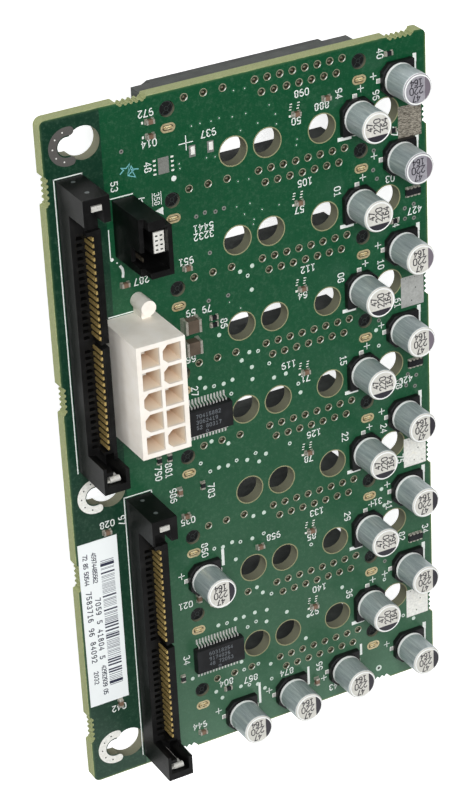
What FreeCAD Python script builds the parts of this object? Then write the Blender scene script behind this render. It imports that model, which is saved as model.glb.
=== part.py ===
"""Eight-bay drive backplane board for 2.5 inch drives.

Frame: +Z is the normal of the board face that carries the headers and the
capacitors.  +X runs across the rows of drive contacts, +Y runs from the last
bay to the first.  The assembly lies on the faces of its eight drive
connectors, so Z = 0 is the plane of those faces and the origin is the bottom
centre of the whole.

The sheet "Sizes" holds the driving dimensions in millimetres.  Positions on
the board are given from the first signal contact hole of the first bay
(across, along), which itself sits at (first_x, first_y) in the model frame.
"""
import FreeCAD, Part
import Sketcher
import os, math

Vec = FreeCAD.Vector
doc = FreeCAD.newDocument("drive_backplane")
sheet = doc.addObject("Spreadsheet::Sheet", "Sizes")

DIMS = [
    # board
    ("board_across", 76.8, "board, short side"),
    ("board_along", 136.2, "board, long side"),
    ("board_thick", 2.4, "laminate thickness"),
    ("corner_rad", 1.5, "outline corner radius"),
    ("first_x", -10.8, "first signal contact hole, X"),
    ("first_y", 66.1, "first signal contact hole, Y"),
    ("bay_pitch", 17.2, "distance from bay to bay"),
    ("bays", 8, "number of bays"),
    # contact field
    ("pin_pitch", 2.54, "contact tail pitch, each row"),
    ("sig_step", 3.81, "step of the three signal tail holes"),
    ("pow_start", 13.97, "first power tail hole from the first signal hole"),
    ("tail_hole_rad", 0.48, "tail hole radius"),
    ("peg_left", -3.4, "left peg from the first signal hole"),
    ("peg_right", 35.15, "right peg from the first signal hole"),
    ("peg_along", -1.35, "pegs, along"),
    ("peg_hole_rad", 1.5, "peg hole radius"),
    ("peg_rad", 1.35, "peg radius"),
    ("lock_along", -4.85, "board lock slots, along"),
    ("lock_half", 0.6, "half of the lock slot's straight length"),
    ("lock_rad", 0.55, "lock slot end radius"),
    # air holes and keyholes
    ("vent_rad", 2.7, "air hole radius"),
    ("vent_along", -12.3, "air holes from the bay's signal row"),
    ("vent_a", 9.1, "air hole 1, across"),
    ("vent_b", 16.0, "air hole 2, across"),
    ("vent_c", 27.2, "air hole 3, across"),
    ("vent_d", 40.45, "air hole 4, across"),
    ("key_x", -19.6, "keyhole head, across"),
    ("key_rad", 3.1, "keyhole head radius"),
    ("key_neck_x", -22.7, "keyhole slot end centre, across"),
    ("key_neck_rad", 1.73, "keyhole slot end radius"),
    ("key_top_y", -3.7, "upper keyhole, along"),
    ("key_mid_y", -72.3, "middle keyhole, along"),
    ("key_low_y", -127.8, "lower keyhole, along"),
    ("tab_depth", 0.55, "recess where a breakaway tab was snapped off"),
    ("tab_len", 5.4, "length of that recess"),
    ("tab_bite_rad", 0.36, "perforation radius"),
    ("tab_bite_step", 1.05, "perforation pitch"),
    # drive connectors
    ("seat_depth", 11.1, "drive connector height behind the board"),
    ("stand_off", 0.3, "gap between board and connector foot"),
    ("foot_height", 5.9, "wide foot, height"),
    ("foot_x", -5.9, "foot, left end"),
    ("foot_len", 43.6, "foot length"),
    ("foot_y", -6.9, "foot, lower side"),
    ("foot_wide", 7.3, "foot width"),
    ("nose_x", -3.8, "nose, left end"),
    ("nose_len", 39.4, "nose length"),
    ("nose_y", -6.2, "nose, lower side"),
    ("nose_wide", 5.05, "nose width"),
    ("mouth_x", -1.6, "slot, left end"),
    ("mouth_len", 35.0, "slot length"),
    ("mouth_y", -4.7, "slot, lower side"),
    ("mouth_wide", 2.3, "slot width"),
    ("mouth_deep", 7.6, "slot depth"),
    ("blade_pitch", 1.27, "contact pitch in the slot"),
    ("blade_wide", 0.7, "contact width"),
    ("blade_thick", 0.22, "contact thickness"),
    # power header
    ("ph_x", -18.55, "power header, left side"),
    ("ph_y", -60.15, "power header, lower end"),
    ("ph_across", 9.6, "power header width"),
    ("ph_along", 22.2, "power header length"),
    ("ph_tall", 12.9, "power header height"),
    ("ph_pitch", 4.2, "power circuit pitch"),
    ("ph_cell", 3.55, "power cavity side"),
    ("ph_cell_deep", 9.6, "power cavity depth"),
    ("ph_pin", 1.07, "power pin side"),
    ("ph_hole_rad", 0.9, "power pin hole radius"),
    ("ph_boss_rad", 1.45, "round post radius"),
    ("ph_boss_tall", 4.4, "round post height"),
    # data headers
    ("dh_across", 5.1, "data header width"),
    ("dh_along", 57.0, "data header length"),
    ("dh_body_tall", 6.1, "data header body height"),
    ("dh_tower_tall", 10.5, "data header tower height"),
    ("dh_left_tall", 4.5, "data header comb wall height"),
    ("dh_tower_len", 4.9, "data header tower length"),
    ("dh_mid_y", 27.15, "middle between the two contact groups"),
    ("dh_key_y", 26.7, "key notch"),
    ("dh_wall", 0.55, "tower wall"),
    ("dh_slot_x", 2.35, "slot from the left side"),
    ("dh_slot_wide", 1.05, "slot width"),
    ("dh_slot_deep", 3.0, "slot depth"),
    ("dh_pitch", 1.27, "data contact pitch"),
    ("dh_blade", 0.62, "data contact width"),
    ("dh_upper_x", -25.35, "upper data header, left side"),
    ("dh_upper_y", -66.35, "upper data header, lower end"),
    ("dh_lower_x", -16.65, "lower data header, left side"),
    ("dh_lower_y", -131.85, "lower data header, lower end"),
    # auxiliary header
    ("ah_x", -15.1, "auxiliary header, left side"),
    ("ah_y", -26.3, "auxiliary header, lower end"),
    ("ah_across", 5.4, "auxiliary header width"),
    ("ah_along", 10.7, "auxiliary header length"),
    ("ah_tall", 12.0, "auxiliary header height"),
    ("ah_wall", 0.85, "auxiliary header wall"),
    # electrolytic capacitors
    ("can_rad", 3.12, "can radius"),
    ("can_top", 7.7, "can height above the board"),
    ("can_base", 6.6, "plastic base side"),
    ("can_base_tall", 1.25, "plastic base thickness"),
    ("can_lead_wide", 0.7, "capacitor lead width"),
    # small-outline packages
    ("ic_across", 10.2, "package length"),
    ("ic_along", 5.3, "package width"),
    ("ic_tall", 1.75, "package top above the board"),
    ("ic_pitch", 0.65, "lead pitch"),
    ("ic_lead", 0.24, "lead width"),
    # chip parts
    ("chip_len", 1.6, "small chip length"),
    ("chip_wide", 0.85, "small chip width"),
    ("chip_res_tall", 0.45, "chip resistor height"),
    ("chip_cap_tall", 0.8, "chip capacitor height"),
    ("chip_end", 0.35, "end cap length"),
    ("bulk_len", 3.2, "large chip capacitor length"),
    ("bulk_wide", 2.6, "large chip capacitor width"),
    ("bulk_tall", 2.0, "large chip capacitor height"),
    ("net_len", 3.2, "resistor network length"),
    ("net_wide", 1.2, "resistor network body width"),
    ("net_tall", 0.5, "resistor network height"),
    ("label_x", -27.05, "paper label, left edge"),
    ("label_y", -117.1, "paper label, lower edge"),
    ("label_across", 8.0, "paper label width"),
    ("label_along", 35.6, "paper label length"),
    ("label_thick", 0.12, "paper label thickness"),
]

# capacitor cans: across, along, turn of the positive lead (degrees from +Y)
CANS = [
    (34.15, -11.36, 0), (34.15, -28.56, 0), (34.15, -45.76, 0), (34.15, -62.96, 0),
    (34.15, -80.16, 0), (34.15, -97.36, 0), (34.15, -114.56, 0),
    (42.75, -6.04, 90), (42.95, -21.40, 90), (42.95, -39.50, 90), (42.90, -56.53, 90),
    (42.90, -74.81, 90), (43.30, -91.36, 90), (43.10, -108.88, 90), (43.03, -127.69, 90),
    (-1.74, -96.45, 90), (4.60, -129.70, 90), (15.87, -128.81, 90), (27.98, -127.79, 90),
]
for i, (a, b, c) in enumerate(CANS, 1):
    DIMS.append(("can%02d_across" % i, a, "capacitor %d, across" % i))
    DIMS.append(("can%02d_along" % i, b, "capacitor %d, along" % i))

VAL = {}
for i, (alias, value, note) in enumerate(DIMS, 1):
    sheet.set("A%d" % i, note)
    sheet.set("B%d" % i, repr(value))
    sheet.setAlias("B%d" % i, alias)
    VAL[alias] = float(value)
doc.recompute()


class Q:
    """A length together with the expression that gives it."""
    def __init__(self, v, e):
        self.v, self.e = float(v), e
    def _op(self, other, sign, flip=False):
        o = other if isinstance(other, Q) else Q(other, repr(float(other)))
        a, b = (o, self) if flip else (self, o)
        v = {"+": a.v + b.v, "-": a.v - b.v, "*": a.v * b.v,
             "/": a.v / b.v if b.v else 0.0}[sign]
        return Q(v, "(%s %s %s)" % (a.e, sign, b.e))
    def __add__(self, o): return self._op(o, "+")
    def __radd__(self, o): return self._op(o, "+", True)
    def __sub__(self, o): return self._op(o, "-")
    def __rsub__(self, o): return self._op(o, "-", True)
    def __mul__(self, o): return self._op(o, "*")
    def __rmul__(self, o): return self._op(o, "*", True)
    def __truediv__(self, o): return self._op(o, "/")
    def __neg__(self): return Q(-self.v, "(0 - %s)" % self.e)


def S(alias):
    return Q(VAL[alias], "Sizes." + alias)


def num(q):
    return q.v if isinstance(q, Q) else float(q)


def bind(obj, prop, q):
    """Give a property its number and, where there is one, its expression."""
    if isinstance(q, Q):
        obj.setExpression(prop, q.e)
    elif q:
        obj.setExpression(prop, repr(float(q)))


def place(obj, x, y, z, turn=0.0):
    obj.Placement = FreeCAD.Placement(Vec(num(x), num(y), num(z)),
                                      FreeCAD.Rotation(Vec(0, 0, 1), turn))
    bind(obj, ".Placement.Base.x", x)
    bind(obj, ".Placement.Base.y", y)
    bind(obj, ".Placement.Base.z", z)


NODES = []


def node(obj, name):
    obj.Label = name
    NODES.append((name, obj))
    return obj


def box(name, x, y, z, dx, dy, dz):
    o = doc.addObject("Part::Box", name)
    o.Length, o.Width, o.Height = num(dx), num(dy), num(dz)
    bind(o, "Length", dx)
    bind(o, "Width", dy)
    bind(o, "Height", dz)
    place(o, x, y, z)
    return o


def cyl(name, x, y, z, rad, tall):
    o = doc.addObject("Part::Cylinder", name)
    o.Radius, o.Height = num(rad), num(tall)
    bind(o, "Radius", rad)
    bind(o, "Height", tall)
    place(o, x, y, z)
    return o


def roll(name, x, y, z, rad, long):
    """Round bar lying along X."""
    o = cyl(name, x, y, z, rad, long)
    o.Placement = FreeCAD.Placement(o.Placement.Base, FreeCAD.Rotation(Vec(0, 1, 0), 90))
    return o


def fuse(name, shapes):
    o = doc.addObject("Part::MultiFuse", name)
    o.Shapes = shapes
    return o


def cut(name, base, tools):
    t = tools[0] if len(tools) == 1 else fuse(name + "_tools", tools)
    o = doc.addObject("Part::Cut", name)
    o.Base, o.Tool = base, t
    return o


def group(name, shapes):
    o = doc.addObject("Part::Compound", name)
    o.Links = shapes
    return o


def body(name):
    b = doc.addObject("PartDesign::Body", name)
    if hasattr(b, "AllowCompound"):
        b.AllowCompound = True
    return b


def plane(b, role):
    for f in b.Origin.OriginFeatures:
        if f.Role == role:
            return f
    raise RuntimeError(role)


def sketch(b, name, role="XY_Plane", offset=None):
    s = b.newObject("Sketcher::SketchObject", name)
    s.AttachmentSupport = (plane(b, role), [""])
    s.MapMode = "FlatFace"
    if offset is not None:
        s.AttachmentOffset = FreeCAD.Placement(Vec(0, 0, num(offset)), FreeCAD.Rotation())
        bind(s, ".AttachmentOffset.Base.z", offset)
    return s


def fix(s, geo, pos, x, y):
    """Hold one sketch point at (x, y) from the sketch's origin."""
    for kind, q in (("DistanceX", x), ("DistanceY", y)):
        v = num(q)
        if abs(v) < 1e-9 and not isinstance(q, Q):
            # a point on an axis
            s.addConstraint(Sketcher.Constraint("PointOnObject", geo, pos,
                                                -2 if kind == "DistanceX" else -1))
            continue
        i = s.addConstraint(Sketcher.Constraint(kind, -1, 1, geo, pos, v))
        if isinstance(q, Q):
            s.setExpression("Constraints[%d]" % i, q.e)


def polygon(s, pts):
    n = len(pts)
    ids = []
    for i in range(n):
        a, b = pts[i], pts[(i + 1) % n]
        ids.append(s.addGeometry(Part.LineSegment(Vec(num(a[0]), num(a[1]), 0),
                                                  Vec(num(b[0]), num(b[1]), 0)), False))
    for i in range(n):
        s.addConstraint(Sketcher.Constraint("Coincident", ids[i], 2, ids[(i + 1) % n], 1))
    for i in range(n):
        fix(s, ids[i], 1, pts[i][0], pts[i][1])


def rect(s, x, y, dx, dy):
    polygon(s, [(x, y), (x + dx, y), (x + dx, y + dy), (x, y + dy)])


def circle(s, x, y, rad):
    g = s.addGeometry(Part.Circle(Vec(num(x), num(y), 0), Vec(0, 0, 1), num(rad)), False)
    i = s.addConstraint(Sketcher.Constraint("Radius", g, num(rad)))
    if isinstance(rad, Q):
        s.setExpression("Constraints[%d]" % i, rad.e)
    fix(s, g, 3, x, y)


def pad(b, s, length, down=False, name="Pad"):
    p = b.newObject("PartDesign::Pad", b.Name + "_" + name)
    p.Profile = s
    p.Length = num(length)
    bind(p, "Length", length)
    p.Reversed = down
    doc.recompute()
    return p


def pocket(b, s, length, down=True, name="Pocket"):
    before = b.Shape.Volume
    p = b.newObject("PartDesign::Pocket", b.Name + "_" + name)
    p.Profile = s
    p.Length = num(length)
    bind(p, "Length", length)
    p.Reversed = not down
    doc.recompute()
    if b.Shape.Volume > before - 1e-6:
        p.Reversed = down
        doc.recompute()
    if b.Shape.Volume > before - 1e-6:
        raise RuntimeError("pocket cuts nothing: " + p.Name)
    return p


def row_pattern(b, feats, role, step, count, name, back=False):
    """Repeat features along one of the body's own axes."""
    p = b.newObject("PartDesign::LinearPattern", b.Name + "_" + name)
    p.Originals = feats
    p.Direction = (plane(b, role), [""])
    p.Reversed = back
    p.Occurrences = int(num(count))
    total = step * (int(num(count)) - 1) if isinstance(step, Q) else num(step) * (int(num(count)) - 1)
    p.Length = num(total)
    bind(p, "Length", total)
    b.Tip = p
    doc.recompute()
    return p


# common heights ------------------------------------------------------------
back_z = S("seat_depth")                       # drive side of the board
front_z = S("seat_depth") + S("board_thick")   # component side of the board


def ax(a):
    """Across position on the board to model X."""
    return S("first_x") + a


def al(a):
    """Along position on the board to model Y."""
    return S("first_y") + a


# ---------------------------------------------------------------------------
# circuit board: laminate, keyholes, air holes, contact holes, tab scars
# ---------------------------------------------------------------------------
# The body's own origin is the lower left corner of the outline.
brd = body("Board")
left = -(S("board_across") / 2)
low = -(S("board_along") / 2)
ox = S("first_x") - left          # first signal hole from the outline corner
oy = S("first_y") - low

sk = sketch(brd, "BoardOutline")
rect(sk, 0.0, 0.0, S("board_across"), S("board_along"))
pad(brd, sk, S("board_thick"))
edges = []
for i, e in enumerate(brd.Shape.Edges, 1):
    d = e.Vertexes[1].Point - e.Vertexes[0].Point
    if abs(d.z) > 1 and abs(d.x) < 1e-6 and abs(d.y) < 1e-6:
        edges.append("Edge%d" % i)
slab = brd.Tip
fil = brd.newObject("PartDesign::Fillet", "Board_Corners")
fil.Base = (slab, edges)
fil.Radius = VAL["corner_rad"]
bind(fil, "Radius", S("corner_rad"))
doc.recompute()

sk = sketch(brd, "KeyholeHeads")
for a in ("key_top_y", "key_mid_y", "key_low_y"):
    circle(sk, ox + S("key_x"), oy + S(a), S("key_rad"))
pocket(brd, sk, S("board_thick"), name="KeyHeads")
sk = sketch(brd, "KeyholeNecks")
for a in ("key_top_y", "key_mid_y", "key_low_y"):
    rect(sk, ox + S("key_neck_x"), oy + S(a) - S("key_neck_rad"),
         S("key_x") - S("key_neck_x"), S("key_neck_rad") * 2)
pocket(brd, sk, S("board_thick"), name="KeyNecks")
sk = sketch(brd, "KeyholeEnds")
for a in ("key_top_y", "key_mid_y", "key_low_y"):
    circle(sk, ox + S("key_neck_x"), oy + S(a), S("key_neck_rad"))
pocket(brd, sk, S("board_thick"), name="KeyEnds")

# one bay's holes, then the pattern over the bays
sk = sketch(brd, "BayAirHoles")
for a in ("vent_a", "vent_b", "vent_c", "vent_d"):
    circle(sk, ox + S(a), oy + S("vent_along"), S("vent_rad"))
f_air = pocket(brd, sk, S("board_thick"), name="Air")
row_pattern(brd, [f_air], "Y_Axis", S("bay_pitch"), VAL["bays"] - 1, "AirRows", back=True)

sk = sketch(brd, "BayTailHoles")
for i in range(3):
    circle(sk, ox + S("sig_step") * i, oy, S("tail_hole_rad"))
for i in range(8):
    circle(sk, ox + S("pow_start") + S("pin_pitch") * i, oy, S("tail_hole_rad"))
for i in range(7):
    circle(sk, ox + S("pow_start") + S("pin_pitch") * (i + 0.5), oy - S("pin_pitch"),
           S("tail_hole_rad"))
for a in ("peg_left", "peg_right"):
    circle(sk, ox + S(a), oy + S("peg_along"), S("peg_hole_rad"))
f_tail = pocket(brd, sk, S("board_thick"), name="Tails")
row_pattern(brd, [f_tail], "Y_Axis", S("bay_pitch"), VAL["bays"], "TailRows", back=True)

sk = sketch(brd, "BayLockSlots")
for a in ("peg_left", "peg_right"):
    cx, cy = ox + S(a), oy + S("lock_along")
    polygon(sk, [(cx - S("lock_half") - S("lock_rad") * 0.6, cy - S("lock_rad")),
                 (cx + S("lock_half") + S("lock_rad") * 0.6, cy - S("lock_rad")),
                 (cx + S("lock_half") + S("lock_rad"), cy - S("lock_rad") * 0.6),
                 (cx + S("lock_half") + S("lock_rad"), cy + S("lock_rad") * 0.6),
                 (cx + S("lock_half") + S("lock_rad") * 0.6, cy + S("lock_rad")),
                 (cx - S("lock_half") - S("lock_rad") * 0.6, cy + S("lock_rad")),
                 (cx - S("lock_half") - S("lock_rad"), cy + S("lock_rad") * 0.6),
                 (cx - S("lock_half") - S("lock_rad"), cy - S("lock_rad") * 0.6)])
f_lock = pocket(brd, sk, S("board_thick"), name="Locks")
row_pattern(brd, [f_lock], "Y_Axis", S("bay_pitch"), VAL["bays"], "LockRows", back=True)

sk = sketch(brd, "PowerPinHoles")
for r in range(5):
    for c in range(2):
        circle(sk, ox + S("ph_x") + S("ph_across") / 2 + S("ph_pitch") * (c - 0.5),
               oy + S("ph_y") + S("ph_along") / 2 + S("ph_pitch") * (r - 2), S("ph_hole_rad"))
pocket(brd, sk, S("board_thick"), name="PowerHoles")

# snapped-off panel tabs: a shallow recess with the remains of the perforations
TABS = [("L", -11.1), ("L", -51.5), ("L", -88.5), ("L", -122.2),
        ("T", -10.1), ("T", 43.9),
        ("R", -13.6), ("R", -48.3), ("R", -84.8), ("R", -119.2),
        ("B", -8.0), ("B", 36.0)]
sk = sketch(brd, "TabRecesses")
half = S("tab_len") / 2
for side, at in TABS:
    if side in "LR":
        c = oy + at
        x0 = -0.5 if side == "L" else S("board_across") - S("tab_depth")
        x1 = S("tab_depth") if side == "L" else S("board_across") + 0.5
        if side == "L":
            polygon(sk, [(x0, c - half - 0.5), (x1, c - half), (x1, c + half), (x0, c + half + 0.5)])
        else:
            polygon(sk, [(x0, c - half), (x1, c - half - 0.5), (x1, c + half + 0.5), (x0, c + half)])
    else:
        c = ox + at
        if side == "T":
            y0, y1 = S("board_along") - S("tab_depth"), S("board_along") + 0.5
            polygon(sk, [(c - half, y0), (c + half, y0), (c + half + 0.5, y1), (c - half - 0.5, y1)])
        else:
            y0, y1 = -0.5, S("tab_depth")
            polygon(sk, [(c - half - 0.5, y0), (c + half + 0.5, y0), (c + half, y1), (c - half, y1)])
pocket(brd, sk, S("board_thick"), name="TabRecess")
sk = sketch(brd, "TabPerforations")
for side, at in TABS:
    for k in range(-2, 3):
        if side in "LR":
            cx = S("tab_depth") if side == "L" else S("board_across") - S("tab_depth")
            circle(sk, cx, oy + at + S("tab_bite_step") * k, S("tab_bite_rad"))
        else:
            cy = S("tab_depth") if side == "B" else S("board_along") - S("tab_depth")
            circle(sk, ox + at + S("tab_bite_step") * k, cy, S("tab_bite_rad"))
pocket(brd, sk, S("board_thick"), name="TabBites")
place(brd, left, low, back_z)
node(brd, "circuit_board")

# ---------------------------------------------------------------------------
# ten-way power header: two columns of five cavities, latch and round post
# ---------------------------------------------------------------------------
ph = body("PowerHeader")
sk = sketch(ph, "PHOutline")
rect(sk, 0.0, 0.0, S("ph_across"), S("ph_along"))
pad(ph, sk, S("ph_tall"), name="Block")
# latch ramp on the right long side
sk = sketch(ph, "PHLatch", "XZ_Plane")
lx = S("ph_across")
polygon(sk, [(lx - 0.4, S("ph_tall") - 6.2), (lx + 0.25, S("ph_tall") - 6.2),
             (lx + 0.75, S("ph_tall") - 3.6), (lx + 0.75, S("ph_tall") - 2.4),
             (lx + 0.25, S("ph_tall") - 0.6), (lx - 0.4, S("ph_tall") - 0.6)])
lp = pad(ph, sk, 4.4, name="Latch")
lp.Reversed = True
doc.recompute()
# the ramp sits in the middle of the long side
sk.AttachmentOffset = FreeCAD.Placement(Vec(0, 0, -(VAL["ph_along"] / 2 - 2.2)), FreeCAD.Rotation())
bind(sk, ".AttachmentOffset.Base.z", -(S("ph_along") / 2 - 2.2))
doc.recompute()
# post and its web at the upper end
sk = sketch(ph, "PHPost")
circle(sk, S("ph_across") / 2 + 2.3, S("ph_along") + 2.3, S("ph_boss_rad"))
pad(ph, sk, S("ph_boss_tall"), name="Post")
sk = sketch(ph, "PHWeb")
rect(sk, S("ph_across") / 2 + 1.35, S("ph_along") - 0.4, 1.9, 2.4)
pad(ph, sk, S("ph_boss_tall") - 1.2, name="Web")
# cavities from the mating face: square ones and ones with two cut corners
sk = sketch(ph, "PHCells", offset=S("ph_tall"))
cell = S("ph_cell")
CUT = {(0, 2), (0, 1), (1, 4), (1, 3), (1, 0)}      # (column, row from below)
for r in range(5):
    for c in range(2):
        cx = S("ph_across") / 2 + S("ph_pitch") * (c - 0.5) - cell / 2
        cy = S("ph_along") / 2 + S("ph_pitch") * (r - 2) - cell / 2
        if (c, r) in CUT:
            polygon(sk, [(cx + 0.95, cy), (cx + cell, cy), (cx + cell, cy + cell),
                         (cx + 0.95, cy + cell), (cx, cy + cell - 0.95), (cx, cy + 0.95)])
        else:
            rect(sk, cx, cy, cell, cell)
pocket(ph, sk, S("ph_cell_deep"), name="Cells")
# clearance for the pins through the floor
sk = sketch(ph, "PHFloor")
for r in range(5):
    for c in range(2):
        cx = S("ph_across") / 2 + S("ph_pitch") * (c - 0.5) - S("ph_pin") / 2
        cy = S("ph_along") / 2 + S("ph_pitch") * (r - 2) - S("ph_pin") / 2
        rect(sk, cx, cy, S("ph_pin"), S("ph_pin"))
pocket(ph, sk, S("ph_tall") - S("ph_cell_deep") + 0.01, down=False, name="Floor")
place(ph, ax(S("ph_x")), al(S("ph_y")), front_z)
node(ph, "power_header_housing")

pins = []
for r in range(5):
    for c in range(2):
        px = ax(S("ph_x")) + S("ph_across") / 2 + S("ph_pitch") * (c - 0.5) - S("ph_pin") / 2
        py = al(S("ph_y")) + S("ph_along") / 2 + S("ph_pitch") * (r - 2) - S("ph_pin") / 2
        pins.append(box("PHPin%d%d" % (c, r), px, py, back_z - 1.1, S("ph_pin"), S("ph_pin"),
                        S("board_thick") + 1.1 + S("ph_tall") - 3.4))
node(group("PHPins", pins), "power_header_pins")


# ---------------------------------------------------------------------------
# data headers: low slotted body, two latch towers, two groups of contacts
# ---------------------------------------------------------------------------
def data_header(tag, name, hx, hy):
    x0, y0 = ax(S(hx)), al(S(hy))
    L, W, T = S("dh_along"), S("dh_across"), S("dh_tower_len")
    hb, hl, ht, w = S("dh_body_tall"), S("dh_left_tall"), S("dh_tower_tall"), S("dh_wall")
    sx, sw = S("dh_slot_x"), S("dh_slot_wide")
    end = y0 + L
    solids = [box(tag + "Body", x0, y0, front_z, W, L, hl),
              box(tag + "ContactWall", x0 + sx, y0, front_z, W - sx, L, hb),
              box(tag + "TowerA", x0, y0, front_z, W, T - 0.7, ht),
              box(tag + "CheekA", x0, y0, front_z, w + 0.1, T + 0.4, ht),
              box(tag + "TowerB", x0, end - T, front_z, W, T, ht)]
    tools = [
        # long slot between the contact wall and the comb wall
        box(tag + "Slot", x0 + sx, y0 + T + 1.1, front_z + hb - S("dh_slot_deep"),
            sw, L - T * 2 - 5.1, S("dh_slot_deep") + 1.0),
        # shallow outer ledge of the contact wall
        box(tag + "Ledge", x0 + W - 1.15, y0 + T, front_z + hb - 0.14, 2.0, L - T * 2, 1.4),
        # key notch through the contact wall
        box(tag + "Key", x0 + sx, y0 + S("dh_key_y") - 0.4, front_z + hb - 2.9, W, 0.8, 4.0),
        # lower tower: well for the latch, then a well open towards the slot beside a step
        box(tag + "PocketA", x0 + w + 0.1, y0 + 1.5, front_z + 2.6, W - w * 2 - 0.35, 1.65, ht),
        box(tag + "PocketA1", x0 + w + 1.7, y0 + 3.1, front_z + 2.6, W - w * 2 - 1.95, T - 2.6, ht),
        box(tag + "PocketA2", x0 + w + 0.1, y0 + 3.95, front_z + 2.6, sx + 0.5, T - 3.35, ht),
        box(tag + "PocketA3", x0 + w + 0.1, y0 + 3.1, front_z + ht - 0.8, 1.65, 0.9, 2.0),
        # upper tower: pocket behind a thick end wall, and the gap in front of it
        box(tag + "PocketB", x0 + w - 0.1, end - T - 0.1, front_z + 2.6, W - w - 1.25, T - 2.5, ht),
        box(tag + "LatchSeat", x0 + W / 2 - 1.1, end - 2.9, front_z + ht - 2.6, 2.2, 1.65, 3.0),
        box(tag + "Gap", x0 + w + 0.1, end - 8.1, front_z + hb - 1.1, W, 8.1 - T, ht),
    ]
    hull = fuse(tag + "Solid", solids)
    # comb pockets in the other wall, one beside each contact, open towards the slot
    for g in range(2):
        for k in range(16):
            yy = contact_y(y0, g, k)
            tools.append(box(tag + "Comb%d_%02d" % (g, k), x0 + 1.0, yy - 0.32,
                             front_z + hl - 1.6, sx - 0.9, 0.64, 3.4))
    node(cut(tag + "Housing", hull, tools), name + "_housing")
    blades = []
    bx = x0 + sx + sw
    for g in range(2):
        for k in range(16):
            yy = contact_y(y0, g, k) - S("dh_blade") / 2
            up = box(tag + "Blade%d_%02d" % (g, k), bx - 0.26, yy, front_z + hb - S("dh_slot_deep"),
                     0.26, S("dh_blade"), S("dh_slot_deep") + 0.02)
            over = box(tag + "Hook%d_%02d" % (g, k), bx - 0.26, yy, front_z + hb + 0.02,
                       0.36, S("dh_blade"), 0.16)
            blades.append(fuse(tag + "Contact%d_%02d" % (g, k), [up, over]))
    node(group(tag + "Contacts", blades), name + "_contacts")
    # latches: a spring strip in each tower whose top bends over towards the slot
    xl, mid = x0 + W / 2 - 1.0, front_z + ht
    foot = front_z + 2.6
    low = [box(tag + "Strip0", xl, y0 + 1.6, foot, 2.0, 0.3, ht - 3.85),
           roll(tag + "Roll0", xl, y0 + 2.18, mid - 1.25, 0.58, 2.0),
           box(tag + "EarL", xl - 0.75, y0 + 1.75, mid - 1.6, 0.9, 0.3, 0.5),
           box(tag + "Back0", xl + 0.3, y0 + 2.35, mid - 2.6, 1.4, 0.3, 1.2)]
    high = [box(tag + "Strip1", xl, end - 1.75, front_z + ht - 2.6, 2.0, 0.3, 2.5),
            box(tag + "Lip1", xl, end - 2.45, mid - 0.35, 2.0, 1.0, 0.3),
            box(tag + "Ramp1", xl, end - 2.45, mid - 2.3, 2.0, 0.25, 2.1)]
    node(group(tag + "Latches", [fuse(tag + "Latch0", low), fuse(tag + "Latch1", high)]), name + "_latches")


def contact_y(y0, g, k):
    """Middle of contact k in group g, counted from the lower end."""
    half_gap = 1.35
    mid = y0 + S("dh_mid_y")
    if g == 0:
        return mid - half_gap - S("dh_pitch") * (15 - k)
    return mid + half_gap + S("dh_pitch") * k


data_header("DU", "upper_data_header", "dh_upper_x", "dh_upper_y")
data_header("DL", "lower_data_header", "dh_lower_x", "dh_lower_y")

# ---------------------------------------------------------------------------
# auxiliary header: open shroud with a contact carrier along one side
# ---------------------------------------------------------------------------
x0, y0 = ax(S("ah_x")), al(S("ah_y"))
W, L, H, w = S("ah_across"), S("ah_along"), S("ah_tall"), S("ah_wall")
shell = box("AHShell", x0, y0, front_z, W, L, H)
well = box("AHWell", x0 + w, y0 + w + 0.3, front_z + 1.6, W - w * 2, L - w * 2 - 1.1, H)
# the left wall is lower, and lower again at its foot; the upper right corner is cut back
step = box("AHStep", x0 - 1.0, y0 - 1.0, front_z + H - 1.9, w + 1.1, L + 2.0, 4.0)
cham = box("AHCheek", x0 - 1.0, y0 + 1.5, front_z + 6.4, 2.2, 2.9, H)
nick = box("AHNick", x0 + W - 1.2, y0 + L - 1.3, front_z - 1.0, 3.0, 3.0, H + 3.0)
tongue = box("AHTongue", x0 + W - w - 2.15, y0 + 3.6, front_z + 1.6, 2.15, 4.8, 8.7)
open_shell = cut("AHOpen", shell, [well, step, cham, nick])
node(fuse("AHHousing", [open_shell, tongue]), "aux_header_housing")
plate = box("AHPlate", x0 + W - w - 2.1, y0 + 4.0, front_z + 10.3, 2.0, 3.9, 0.3)
dots = []
for r in range(4):
    for c in range(2):
        dots.append(box("AHDot%d%d" % (c, r), x0 + W - w - 1.75 + 0.92 * c, y0 + 4.45 + 0.87 * r,
                        front_z + 10.2, 0.36, 0.24, 0.6))
carrier = cut("AHCarrier", plate, dots)
strips = [box("AHStrip%d" % k, x0 + w, y0 + 2.2 + 1.9 * k, front_z + 2.4, 0.25, 0.7, 6.6)
          for k in range(4)]
node(group("AHContacts", [carrier] + strips), "aux_header_contacts")


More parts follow.
